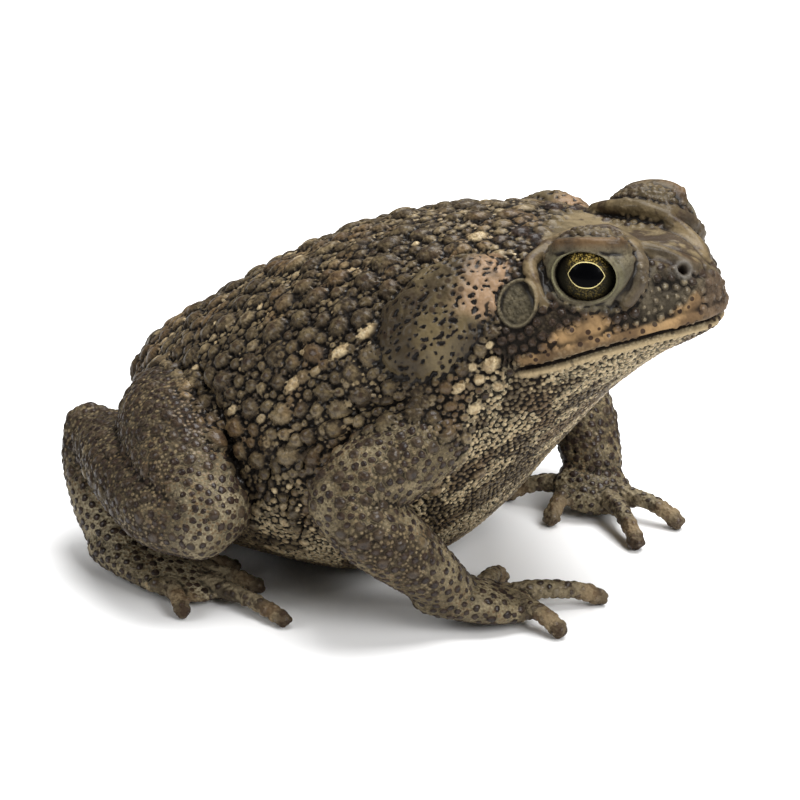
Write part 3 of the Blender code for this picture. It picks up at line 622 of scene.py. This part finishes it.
kinds = [  # where, radii, room, tries per square mm, height as a share of radius, stretch, paleness, cap
    (back * ramp(30, 24, x), (3.0, 4.8), 1.4, 0.03, 0.30, 1.3, 0.35, 0.0),
    (back * ramp(30, 26, x), (1.7, 2.8), 1.05, 0.10, 0.60, 1.35, 0.30, 0.25),
    (back + 0.4 * between, (1.15, 1.7), 1.0, 0.40, 0.58, 1.3, 0.38, 0.2),
    (limb * ramp(16, 24, z) * (1 - kneeCap), (0.95, 1.5), 1.45, 0.22, 0.42, 1.25, 0.30, 0.8),
    (limb * (1 - 0.3 * paw), (0.55, 0.95), 1.30, 3.5, 0.36, 1.25, 0.2, 1.0),
    (cheek * (1 - bare) * (1 - lipBand), (0.7, 1.05), 1.15, 1.5, 0.42, 1.1, 0.15, 0.9),
    (orbitNear * (1 - bare), (0.42, 0.8), 1.12, 4.0, 0.40, 1.1, 0.5, 0.3),
    (snout * (1 - bare) * (1 - lipBand), (0.45, 0.8), 1.4, 1.6, 0.42, 1.1, 0.5, 0.35),
    ((back + between) * (1 - bare), (0.72, 1.1), 0.98, 3.0, 0.55, 1.25, 0.42, 0.1),
    ((back + between + under) * (1 - bare), (0.38, 0.66), 0.98, 8.0, 0.5, 1.2, 0.45, 0.0),
    (limb * (1 - digitNear), (0.34, 0.5), 1.0, 9.0, 0.20, 1.2, 0.5, 0.0),
]
wartLook = {
    "inPatch": 0.45,  # how much paler warts are in a pale patch
    "onBelly": 0.3,  # and on the belly
    "scatter": 0.2,  # spread of paleness from wart to wart
    "limbPalest": 0.58,  # no cream granules on the limbs
    "markedHeight": 0.55,  # of the marked warts, as a share of the radius
    "upRow": (0.66, 0.40, 0.62),  # the way the row of pale warts runs, up towards the gland
    "lean": (1.0, 0.1, 0.3),  # the way long warts lie elsewhere
    "turned": 0.4,  # how far they turn off it
    "moat": 0.16,  # how deep the skin lies between warts
}
dome = np.zeros(count)
rise = np.zeros(count)
pale = np.full(count, 0.3)
cap = np.zeros(count)
taken = np.zeros(count, bool)
glandLike = np.clip(gland * 1.4, 0, 1)
wobble = 0.13 * waves(points, 1.5, 35) + 0.08 * waves(points, 0.8, 36)  # how uneven the rims are
upRow = np.array(wartLook["upRow"])


def around(i, radius):
    return np.array([hit[1] for hit in tree.find_range(points[i], radius)], int)


def raiseWart(i, radius, share, stretch, heading, paleness, capped):
    # a dome whose long side runs along the heading, with an uneven rim
    hits = around(i, radius * stretch * 1.1)
    away = points[hits] - points[i]
    away -= np.outer(away @ normals[i], normals[i]) * 0.6  # a step up or down counts for less
    level = heading - normals[i] * (heading @ normals[i])
    level /= np.linalg.norm(level)
    longer = (away @ level) ** 2 * (1 - 1 / stretch**2)
    t = np.sqrt(np.maximum((away**2).sum(1) - longer, 0)) / radius * (1 + wobble[hits])
    t += 2 * np.maximum(0, 0.5 - normals[hits] @ normals[i])  # keep to one side of a crease
    bump = np.clip(1 - t * t, 0, 1)
    over = bump > dome[hits]
    rise[hits] = np.maximum(rise[hits], share * radius * bump**0.7)
    pale[hits[over]] = paleness
    cap[hits[over]] = capped
    dome[hits] = np.maximum(dome[hits], bump)


placed = []
for *place, radius, stretch, paleness, capped in marked:
    for side in sides:
        i = tree.find(put(place, side))[1]
        placed.append((i, radius))
        heading = upRow * np.array([1.0, -sides[side], 1.0])
        raiseWart(i, radius, wartLook["markedHeight"], stretch, heading, paleness, capped)
for where, (least, most), room, tries, share, stretch, paleness, capped in kinds:
    taken[:] = drum > 0
    for i, radius in placed:
        taken[around(i, room * (radius + least) * 0.9)] = True
    chance = draw.random(count) < np.clip(where, 0, 1) * tries * voxel**2 * (1 - glandLike)
    soft = least >= 3  # a broad swelling that lesser warts stand on
    for i in draw.permutation(np.flatnonzero(chance)):
        if taken[i]:
            continue
        radius = draw.uniform(least, most)
        taken[around(i, room * (radius + least))] = True
        tint = paleness + wartLook["inPatch"] * (patch[i] - 0.5) + wartLook["onBelly"] * under[i]
        tint = np.clip(tint + draw.normal() * wartLook["scatter"], 0, 1)
        hasCap = capped if draw.random() < capped + 0.1 else 0.0
        if soft:
            hits = around(i, radius)
            away = np.linalg.norm(points[hits] - points[i], axis=1) / radius
            rise[hits] += share * radius * np.clip(1 - away**2, 0, 1) ** 2
        else:
            placed.append((i, radius))
            lean = np.array(wartLook["lean"])
            if flank[i] > 0.5:
                lean = upRow * np.array([1.0, -mirror[i], 1.0])
            heading = lean + draw.normal(size=3) * wartLook["turned"]
            raiseWart(i, radius, share, draw.uniform(1, stretch), heading, tint, hasCap)
    print("warts", len(placed))

clearDrum = ramp(1.08, 1.3, drumRing)
rise, dome, cap = rise * clearDrum, dome * clearDrum, cap * clearDrum
pale = np.where(limb > 0.5, np.minimum(pale, wartLook["limbPalest"]), pale)
moat = wartLook["moat"] * (1 - ramp(0.0, 0.3, dome)) * (1 - bare)
moat *= (1 - gland) * (1 - crown) * (1 - 0.6 * limb)
leather = 0.05 * waves(points, 3.0, 3) * np.clip(snout + crown + lids * 0.3, 0, 1)
glandForm = {  # depth of its pits, then height and size of its swellings
    "pits": 0.45,
    "broad": (0.22, 5.5),
    "fine": (0.10, 2.4),
}
pits = ramp(0.36, 0.66, waves(folded, 2.4, 41) * waves(folded, 3.2, 42) * 2.2)
(broad, broadSize), (fine, fineSize) = glandForm["broad"], glandForm["fine"]
swell = broad * waves(folded, broadSize, 43) + fine * waves(folded, fineSize, 44) - glandForm["pits"] * pits
points = points + normals * (rise - moat + leather + gland * swell)[:, None]
edgeBand = skinShape["edgeBand"]
for axis in range(3):
    for way, edge in ((-1, cadBox[0][axis]), (1, cadBox[1][axis])):
        past = way * (points[:, axis] - edge / mm) + edgeBand  # how far into the last of the box
        points[:, axis] -= way * np.maximum(past, 0) * (1 - edgeBand / max(past.max(), edgeBand))
writePoints(points)
normals = readNormals()
rounds = skinShape["hollowRounds"][pace]
evened = np.column_stack([averaged(points[:, k].copy(), rounds) for k in range(3)])
# how far each point lies below its smoothed surroundings; the skin is darkened there as painted shade
hollow = ((evened - points) * normals).sum(1)
print("warts raised")

tips = [put(digit[1], side) for side in sides for digit in fingers[side] + toes]
tipAway = np.min([np.linalg.norm(points - np.array(tip), axis=1) for tip in tips], axis=0)
stripe = bell(out + 0.7 * waves(points, 9, 51), 0, 1.3) * back * ramp(-40, -25, x) * (1 - ramp(15, 30, x))
footLine = alongLine(folded, [row[:3] for row in leg[2][1:] + leg[3]])
lidSide = np.abs(across)  # the rim of the lids shows pale towards the corners of the eye
lidPale = bell(lidRing, 1.05, 0.025) * front * ramp(1.0, 5.5, lidSide)
lidPale += 0.3 * bell(lidRing, 1.2, 0.08) * front * ramp(4.0, 7.0, lidSide)

kept = {  # where each colour goes, from 0 to 1, saved on the skin for its material
    "dome": dome,
    "pale": np.maximum(pale, 0.9 * stripe),
    "cap": cap,
    # painted shade in creases and between the warts, weaker on the head, crown and limbs
    "hollow": 0.5 + hollow * 1.6 * (1 - 0.45 * head) * (1 - 0.6 * crown) * (1 - 0.5 * limb),
    "gland": gland,
    "pits": pits * gland,
    "glandTop": gland * ramp(24, 30, x) * ramp(66, 70, z + 1.5 * waves(folded, 5, 45)),
    # painted shade over the gland's front lower part, under its swelling
    "glandEdgeShade": 0.85 * gland * ramp(25, 31, x) * (1 - ramp(62, 67, z + 1.5 * waves(folded, 5, 46))),
    "under": under,
    "patch": patch,
    "limb": limb,
    # painted light: the feet are lightened where they lie in the shade of the shank
    "footPale": limb * (1 - ramp(5.0, 7.5, footLine)),
    "haunch": 0.85 * ramp(8, -8, x) * ramp(14, 20, z) * (1 - kneeCap),
    # pale knees, and painted light on the paws, more on the far ones, which lie in the body's shade
    "kneeAndLitPaw": 0.8 * kneeCap + 0.25 * paw + 0.5 * paw * (mirror > 0),
    "lids": lids,
    "brow": 1.2 * browRidge + 0.5 * ridge + 0.5 * bell(beforeEyeAway, 0, 1.5),
    # painted shade in the grooves beside the crests and in the fold above the brow
    "shadedGroove": 0.7 * shadedGroove + 0.6 * browFold,
    "nose": nostrilRim,
    "noseTip": head * ramp(66.8, 69.0, x + 0.5 * waves(points, 4, 53)) * ramp(-0.5, 0.5, mouthGap),
    "lip": np.maximum(lipBand, 0.8 * upperLip),
    "lowLip": lowerLip,
    # painted shade: the mouth slit and the nostril pit darkened near black
    "mouth": mouth + nostrilPit,
    "drum": drum,
    "drumRim": drumRim,
    "lidRim": lidPale,
    "crown": crown + crest + 0.8 * orbitNear,
    "snout": snout,
    "tip": 1 - ramp(1.2, 2.6, tipAway),
    "nearTip": ramp(1.5, 3.0, tipAway) * (1 - ramp(4.0, 7.0, tipAway)),
    "digit": digitNear * paw,
}
for name, values in kept.items():
    keep(name, values)
mesh.shade_smooth()

# Materials


def painted(red, green, blue):
    # a colour given in 0 to 255 as a painter picks it, made linear
    parts = [c / 255 for c in (red, green, blue)]
    return tuple(c / 12.92 if c <= 0.04 else ((c + 0.055) / 1.055) ** 2.4 for c in parts) + (1.0,)


class Painter:
    # short calls that build a node tree
    def __init__(self, name):
        self.material = bpy.data.materials.new(name)
        self.material.use_nodes = True
        self.tree = self.material.node_tree
        self.shader = self.tree.nodes["Principled BSDF"]
        self.coords = self.tree.nodes.new("ShaderNodeTexCoord").outputs["Object"]

    def link(self, source, target):
        if isinstance(source, bpy.types.NodeSocket):
            self.tree.links.new(source, target)
        else:
            target.default_value = source

    def attribute(self, name):
        node = self.tree.nodes.new("ShaderNodeAttribute")
        node.attribute_type = "GEOMETRY"
        node.attribute_name = name
        return node.outputs["Fac"]

    def noise(self, scale, detail=3.0, roughness=0.55):
        node = self.tree.nodes.new("ShaderNodeTexNoise")
        node.inputs["Scale"].default_value = scale
        node.inputs["Detail"].default_value = detail
        node.inputs["Roughness"].default_value = roughness
        self.link(self.coords, node.inputs["Vector"])
        return node.outputs["Fac"]

    def cells(self, scale):
        node = self.tree.nodes.new("ShaderNodeTexVoronoi")
        node.inputs["Scale"].default_value = scale
        self.link(self.coords, node.inputs["Vector"])
        return node.outputs["Distance"]

    def fit(self, value, low, high, newLow=0.0, newHigh=1.0):
        node = self.tree.nodes.new("ShaderNodeMapRange")
        node.interpolation_type = "SMOOTHSTEP"
        limits = {"From Min": low, "From Max": high, "To Min": newLow, "To Max": newHigh}
        for key, number in limits.items():
            node.inputs[key].default_value = number
        self.link(value, node.inputs["Value"])
        return node.outputs["Result"]

    def math(self, operation, a, b=0.0):
        node = self.tree.nodes.new("ShaderNodeMath")
        node.operation = operation
        self.link(a, node.inputs[0])
        self.link(b, node.inputs[1])
        return node.outputs[0]

    def times(self, *values):
        product = values[0]
        for value in values[1:]:
            product = self.math("MULTIPLY", product, value)
        return product

    def mix(self, factor, a, b):
        node = self.tree.nodes.new("ShaderNodeMix")
        node.data_type = "RGBA"
        for name, value in (("Factor_Float", factor), ("A_Color", a), ("B_Color", b)):
            self.link(value, next(socket for socket in node.inputs if socket.identifier == name))
        return next(socket for socket in node.outputs if socket.identifier == "Result_Color")

    def bump(self, height, strength, distance):
        node = self.tree.nodes.new("ShaderNodeBump")
        node.inputs["Strength"].default_value = strength
        node.inputs["Distance"].default_value = distance
        self.link(height, node.inputs["Height"])
        self.link(node.outputs["Normal"], self.shader.inputs["Normal"])


skinTones = {  # two tones of each part, from 0 to 255, that a noise runs between
    "ground": ((36, 30, 23), (60, 51, 38)),
    "limb": ((98, 87, 66), (134, 122, 96)),
    # pale knees, and the lighter tone painted on the paws as light
    "kneeAndLitPaw": ((112, 102, 80), (146, 135, 110)),
    # painted light on the feet
    "foot": ((132, 121, 97), (166, 154, 127)),
    "haunch": ((46, 38, 29), (84, 74, 57)),
    "belly": ((62, 52, 41), (168, 156, 128)),
    "olive": ((56, 46, 32), (84, 72, 50)),
    "tan": ((94, 81, 58), (122, 107, 80)),
    "cream": ((142, 122, 90), (174, 156, 122)),
    "crown": ((80, 69, 48), (112, 98, 72)),
    "snout": ((54, 48, 38), (82, 74, 60)),
    "cap": ((30, 21, 16), (48, 36, 27)),
    "gland": ((54, 45, 31), (92, 80, 56)),
    "lids": ((70, 65, 52), (98, 91, 73)),
    "brow": ((56, 41, 26), (90, 68, 44)),
    "lip": ((146, 118, 82), (92, 72, 50)),
    "drum": ((56, 51, 39), (78, 71, 55)),
    "noseTip": ((48, 37, 29), (92, 76, 60)),
    "digit": ((118, 106, 84), (60, 49, 38)),
}
skinMarks = {  # single tones laid over them
    "limbDark": (60, 51, 38),
    "net": (30, 24, 18),
    "russet": (100, 77, 50),
    "horn": (44, 30, 20),
    "crownSpot": (46, 34, 25),
    "snoutWart": (120, 108, 84),
    "glandTop": (128, 104, 80),
    # painted shade under the gland's swelling
    "glandEdgeShade": (36, 28, 20),
    "pore": (38, 26, 17),
    "pit": (40, 27, 18),
    "lidSpeck": (52, 45, 34),
    # painted shade in grooves
    "shadedGroove": (44, 33, 24),
    "lidRim": (150, 146, 108),
    "lipSpot": (46, 32, 24),
    "lowLip": (156, 138, 106),
    "drumRim": (140, 130, 104),
    "nose": (104, 100, 94),
    "digitSpot": (42, 33, 26),
    "nearTip": (124, 100, 72),
    "tip": (50, 36, 27),
    # painted shade in creases and between the warts
    "hollow": (15, 11, 8),
    # painted shade in the mouth slit and nostril pit
    "mouth": (20, 14, 10),
}
skinNoise = {  # scale per metre, detail, roughness, and the values between which it fades in
    "mottle": (140, 4.0, 0.60, 0.40, 0.62),
    "speck": (700, 3.0, 0.60, 0.40, 0.62),
    "limb": (60, 3.0, 0.55, 0.38, 0.54),
    "russet": (85, 2.0, 0.50, 0.50, 0.64),
    "horn": (240, 2.0, 0.50, 0.46, 0.58),
    "crownSpot": (110, 4.0, 0.65, 0.50, 0.60),
    "gland": (75, 3.0, 0.60, 0.40, 0.64),
    "pore": (120, 3.0, 0.60, 0.36, 0.50),
    "lidSpeck": (1100, 3.0, 0.70, 0.50, 0.58),
    "lip": (110, 4.0, 0.60, 0.40, 0.60),
    "digit": (420, 3.0, 0.60, 0.50, 0.60),
    "digitSpot": (190, 3.0, 0.60, 0.53, 0.59),
}
skinSpots = {  # spots per metre, the distances over which they fade out, and how strong they are
    "pore": (420, 0.20, 0.34, 0.75),
    "lipSpot": (520, 0.24, 0.31, 0.95),
    "lowLip": (400, 0.22, 0.30, 0.95),
}
skinGloss = {
    "roughness": 0.7,
    "specular": 0.1,
    "coatRoughness": 0.22,
    "moistWarts": 0.42,  # coat on top of the warts
    "moistSmooth": 0.2,  # coat on the crown and the gland
    "bump": (0.7, 0.00035),
    "calm": 0.35,  # share of the fine grain that smooth parts keep
}


def skinMaterial():
    p = Painter("toad_skin")
    on = {name: p.attribute(name) for name in kept}
    dome, pale, gland, crown = on["dome"], on["pale"], on["gland"], on["crown"]

    def noisy(name, most=1.0):
        scale, detail, roughness, low, high = skinNoise[name]
        return p.fit(p.noise(scale, detail, roughness), low, high, 0.0, most)

    def spots(name):
        scale, low, high, strength = skinSpots[name]
        return p.fit(p.cells(scale), low, high, strength, 0.0)

    def tones(factor, name):
        return p.mix(factor, *(painted(*tone) for tone in skinTones[name]))

    def overlaid(factor, colour, name):
        return p.mix(factor, colour, painted(*skinMarks[name]))

    mottle, speck, grain = noisy("mottle"), noisy("speck"), p.cells(1250)

    # the skin between the warts
    limbGround = p.mix(noisy("limb"), painted(*skinMarks["limbDark"]), tones(mottle, "limb"))
    # pale knees with painted light on the paws, painted light on the feet, and the darker haunch
    for area, name in (("kneeAndLitPaw", "kneeAndLitPaw"), ("footPale", "foot"), ("haunch", "haunch")):
        limbGround = p.mix(on[area], limbGround, tones(mottle, name))
    ground = p.mix(on["limb"], tones(mottle, "ground"), limbGround)
    ground = p.mix(on["under"], ground, tones(p.fit(on["patch"], 0.2, 0.75), "belly"))
    net = p.times(p.fit(grain, 0.30, 0.62, 0.0, 0.75), p.fit(on["limb"], 0.0, 1.0, 1.0, 0.45))
    ground = overlaid(net, ground, "net")

    # the warts, from dark to cream
    peak = p.mix(p.fit(pale, 0.3, 0.7), tones(speck, "olive"), tones(speck, "tan"))
    peak = overlaid(noisy("russet", 0.45), peak, "russet")
    peak = overlaid(p.times(p.fit(dome, 0.80, 0.96, 0.0, 0.75), noisy("horn")), peak, "horn")
    peak = p.mix(p.fit(pale, 0.74, 0.95, 0.0, 0.9), peak, tones(speck, "cream"))
    skin = p.mix(p.fit(dome, 0.15, 0.85), ground, peak)

    # crown, snout, dark caps and gland
    crownColour = overlaid(noisy("crownSpot", 0.85), tones(mottle, "crown"), "crownSpot")
    skin = p.mix(p.times(crown, 0.92), skin, crownColour)
    snoutColour = overlaid(p.fit(dome, 0.3, 0.9, 0.0, 0.6), tones(mottle, "snout"), "snoutWart")
    skin = p.mix(p.times(on["snout"], 0.92), skin, snoutColour)
    skin = p.mix(p.times(on["cap"], p.fit(dome, 0.10, 0.30)), skin, tones(speck, "cap"))
    glandColour = tones(noisy("gland"), "gland")
    # the gland's paler top, then painted shade on its front lower part
    for area in ("glandTop", "glandEdgeShade"):
        glandColour = overlaid(on[area], glandColour, area)
    glandColour = overlaid(p.times(spots("pore"), noisy("pore")), glandColour, "pore")
    glandColour = overlaid(on["pits"], glandColour, "pit")
    skin = p.mix(gland, skin, glandColour)

    # eye, mouth, eardrum and nose
    lidColour = overlaid(noisy("lidSpeck", 0.55), tones(mottle, "lids"), "lidSpeck")
    skin = p.mix(p.times(on["lids"], 0.9), skin, lidColour)
    skin = p.mix(p.times(on["brow"], 0.85), skin, tones(mottle, "brow"))
    # painted shade in the grooves beside the crests and above the brow
    skin = overlaid(on["shadedGroove"], skin, "shadedGroove")
    skin = overlaid(p.times(on["lidRim"], 0.5), skin, "lidRim")
    lipColour = overlaid(spots("lipSpot"), tones(noisy("lip"), "lip"), "lipSpot")
    skin = p.mix(p.times(on["lip"], 0.95), skin, lipColour)
    skin = p.mix(on["lowLip"], skin, overlaid(spots("lowLip"), painted(*skinMarks["lowLip"]), "lipSpot"))
    skin = p.mix(on["drum"], skin, tones(speck, "drum"))
    skin = overlaid(p.times(on["drumRim"], 0.4), skin, "drumRim")
    skin = overlaid(p.times(on["nose"], 0.6), skin, "nose")
    skin = p.mix(p.times(on["noseTip"], 0.8), skin, tones(mottle, "noseTip"))

    # fingers and toes, then the shade painted into the hollows, the mouth slit and the nostril pit
    digitColour = overlaid(noisy("digitSpot", 0.9), tones(noisy("digit"), "digit"), "digitSpot")
    skin = p.mix(p.times(on["digit"], 0.8), skin, digitColour)
    skin = overlaid(p.times(on["nearTip"], 0.35), skin, "nearTip")
    skin = overlaid(p.times(on["tip"], 0.85), skin, "tip")
    # painted shade, darkest in the deepest creases and between the warts
    skin = overlaid(p.fit(on["hollow"], 0.51, 0.67, 0.0, 0.94), skin, "hollow")
    # painted shade in the mouth slit and the nostril pit
    skin = overlaid(on["mouth"], skin, "mouth")
    p.link(skin, p.shader.inputs["Base Color"])

    p.shader.inputs["Roughness"].default_value = skinGloss["roughness"]
    p.shader.inputs["Specular IOR Level"].default_value = skinGloss["specular"]
    p.shader.inputs["Coat Roughness"].default_value = skinGloss["coatRoughness"]
    moistWarts = p.fit(dome, 0.35, 0.95, 0.0, skinGloss["moistWarts"])
    moistSmooth = p.times(p.math("MAXIMUM", crown, gland), skinGloss["moistSmooth"])
    p.link(p.math("MAXIMUM", moistWarts, moistSmooth), p.shader.inputs["Coat Weight"])
    smooth = p.math("ADD", p.math("ADD", gland, crown), p.math("ADD", on["lids"], on["lip"]))
    fine = p.times(p.fit(grain, 0.0, 0.75, 1.0, 0.0), p.fit(smooth, 0.0, 1.0, 1.0, skinGloss["calm"]))
    fine = p.math("ADD", fine, p.times(p.noise(1600, 2.0), 0.35))
    p.bump(fine, *skinGloss["bump"])
    return p.material


mesh.materials.clear()
mesh.materials.append(skinMaterial())
flesh = [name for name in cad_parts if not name.startswith("eye_")]
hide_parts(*flesh)
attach(skin, "root")
print("skin painted")


eyeball = {
    "look": (0.24, 0.94, 0.25),  # the way the pupil faces
    "pupil": (0.0035, 0.0024),  # half width and half height in metres
    "pupilPowers": (2.6, 1.15),  # 2 is round, less is pointed
    "iris": (0.0060, 0.0052),
    "sidesFrom": 0.0062,  # metres to each side where the gold has turned dark
    "gold": ((22, 19, 11), (168, 144, 74)),  # between and on its flecks
    "sides": (20, 17, 11),
    "lower": (26, 25, 18),
    "edge": (9, 8, 7),
    "ring": (232, 216, 150),
    "dark": (2, 2, 3),
    "roughness": 0.4,
    "specular": 0.02,
    "coat": 0.03,
    "coatRoughness": 0.03,
}


def eyeMaterial():
    p = Painter("toad_eye")
    split = p.tree.nodes.new("ShaderNodeSeparateXYZ")
    p.link(p.coords, split.inputs[0])
    across, upward = split.outputs["X"], split.outputs["Y"]

    def portion(value, half, power):
        return p.math("POWER", p.math("ABSOLUTE", p.math("DIVIDE", value, half)), power)

    def oval(halves, powers):
        # 1 on an oval's outline, less inside it
        return p.math("ADD", *(portion(*part) for part in zip((across, upward), halves, powers)))

    flecks = p.fit(p.noise(2600, 4.0, 0.75), 0.47, 0.62)
    iris = p.mix(flecks, *(painted(*tone) for tone in eyeball["gold"]))
    sideways = p.math("ABSOLUTE", p.math("DIVIDE", across, eyeball["sidesFrom"]))
    iris = p.mix(p.fit(sideways, 0.30, 0.72), iris, painted(*eyeball["sides"]))
    iris = p.mix(p.fit(upward, -0.0010, 0.0032, 0.8, 0.0), iris, painted(*eyeball["lower"]))
    edge = oval(eyeball["iris"], (2.0, 2.0))
    iris = p.mix(p.fit(edge, 0.55, 1.0, 0.0, 0.85), iris, painted(*eyeball["edge"]))
    pupil = oval(eyeball["pupil"], eyeball["pupilPowers"])
    ring = p.times(p.fit(pupil, 0.99, 1.01), p.fit(pupil, 1.03, 1.12, 0.9, 0.0))
    colour = p.mix(ring, iris, painted(*eyeball["ring"]))
    colour = p.mix(p.fit(pupil, 0.97, 1.02, 1.0, 0.0), colour, painted(*eyeball["dark"]))
    p.link(colour, p.shader.inputs["Base Color"])
    p.shader.inputs["Roughness"].default_value = eyeball["roughness"]
    p.shader.inputs["Specular IOR Level"].default_value = eyeball["specular"]
    p.shader.inputs["Coat Weight"].default_value = eyeball["coat"]
    p.shader.inputs["Coat Roughness"].default_value = eyeball["coatRoughness"]
    return p.material


eyePaint = eyeMaterial()
for side in sides:
    bm = bmesh.new()
    bmesh.ops.create_uvsphere(bm, u_segments=96, v_segments=64, radius=eye["radius"] * mm)
    ballMesh = bpy.data.meshes.new(f"eyeball_{side}")
    bm.to_mesh(ballMesh)
    bm.free()
    ballMesh.shade_smooth()
    ballMesh.materials.append(eyePaint)
    ball = bpy.data.objects.new(f"eyeball_{side}", ballMesh)
    bpy.context.scene.collection.objects.link(ball)
    turn = turnedTo(put(eyeball["look"], side)).to_4x4()
    ball.matrix_world = Matrix.Translation(put(eye["at"], side) * mm) @ turn
    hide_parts(f"eye_{side}")
    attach(ball, "root")
print("eyes in place")


# Studio

studio = {
    "aim": (0.0, 0.0, 33.0),
    "azimuth": 26.0,
    "elevation": 22.5,
    "distance": 650.0,  # of the camera, in millimetres like its aim
    "lens": 140.4,
    "lampAim": (0.0, 0.0, 0.035),  # metres
    "lamps": {  # azimuth, elevation, distance and size in metres, power
        "key": (130.0, 76.0, 0.9, 0.7, 14.5),
        "fill": (66.0, 34.0, 1.0, 0.5, 7.5),
        "front": (-40.0, 34.0, 1.1, 0.5, 3.4),
        "rear": (200.0, 50.0, 1.0, 0.5, 4.0),
    },
    "air": (0.09, 1.0),  # how strong the white air is as light, and as the camera sees it
    "floor": {"half": 2.5, "height": -0.0001, "colour": 0.92, "roughness": 0.9},
}


def aimed(azimuth, elevation):
    a, e = math.radians(azimuth), math.radians(elevation)
    return Vector((math.sin(a) * math.cos(e), -math.cos(a) * math.cos(e), math.sin(e)))


lens = bpy.data.cameras.new("camera")
lens.lens = studio["lens"]
lens.sensor_width = 36.0
lens.clip_start = 0.01
camera = bpy.data.objects.new("camera", lens)
bpy.context.scene.collection.objects.link(camera)
outward = aimed(studio["azimuth"], studio["elevation"])
camera.location = (Vector(studio["aim"]) + outward * studio["distance"]) * mm
camera.rotation_euler = (-outward).to_track_quat("-Z", "Y").to_euler()
bpy.context.scene.camera = camera

for name, (azimuth, elevation, distance, size, power) in studio["lamps"].items():
    data = bpy.data.lights.new(name, "AREA")
    data.size = size
    data.energy = power
    lamp = bpy.data.objects.new(name, data)
    bpy.context.scene.collection.objects.link(lamp)
    way = aimed(azimuth, elevation)
    lamp.location = Vector(studio["lampAim"]) + way * distance
    lamp.rotation_euler = (-way).to_track_quat("-Z", "Y").to_euler()

world = bpy.data.worlds.new("studio")
bpy.context.scene.world = world
world.use_nodes = True
air = world.node_tree
sky = air.nodes["Background"]
path = air.nodes.new("ShaderNodeLightPath")
bright = air.nodes.new("ShaderNodeMapRange")
bright.inputs["To Min"].default_value, bright.inputs["To Max"].default_value = studio["air"]
air.links.new(path.outputs["Is Camera Ray"], bright.inputs["Value"])
air.links.new(bright.outputs["Result"], sky.inputs["Strength"])
sky.inputs["Color"].default_value = (1.0, 1.0, 1.0, 1.0)
bpy.context.scene.view_settings.view_transform = "Standard"

floorMesh = bpy.data.meshes.new("floor")
bm = bmesh.new()
bmesh.ops.create_grid(bm, x_segments=1, y_segments=1, size=studio["floor"]["half"])
bm.to_mesh(floorMesh)
bm.free()
floor = bpy.data.objects.new("floor", floorMesh)
floor.location.z = studio["floor"]["height"]
bpy.context.scene.collection.objects.link(floor)
floorPaint = bpy.data.materials.new("floor")
floorPaint.use_nodes = True
floorShader = floorPaint.node_tree.nodes["Principled BSDF"]
floorShader.inputs["Base Color"].default_value = (*[studio["floor"]["colour"]] * 3, 1.0)
floorShader.inputs["Roughness"].default_value = studio["floor"]["roughness"]
floorMesh.materials.append(floorPaint)
print("studio set")
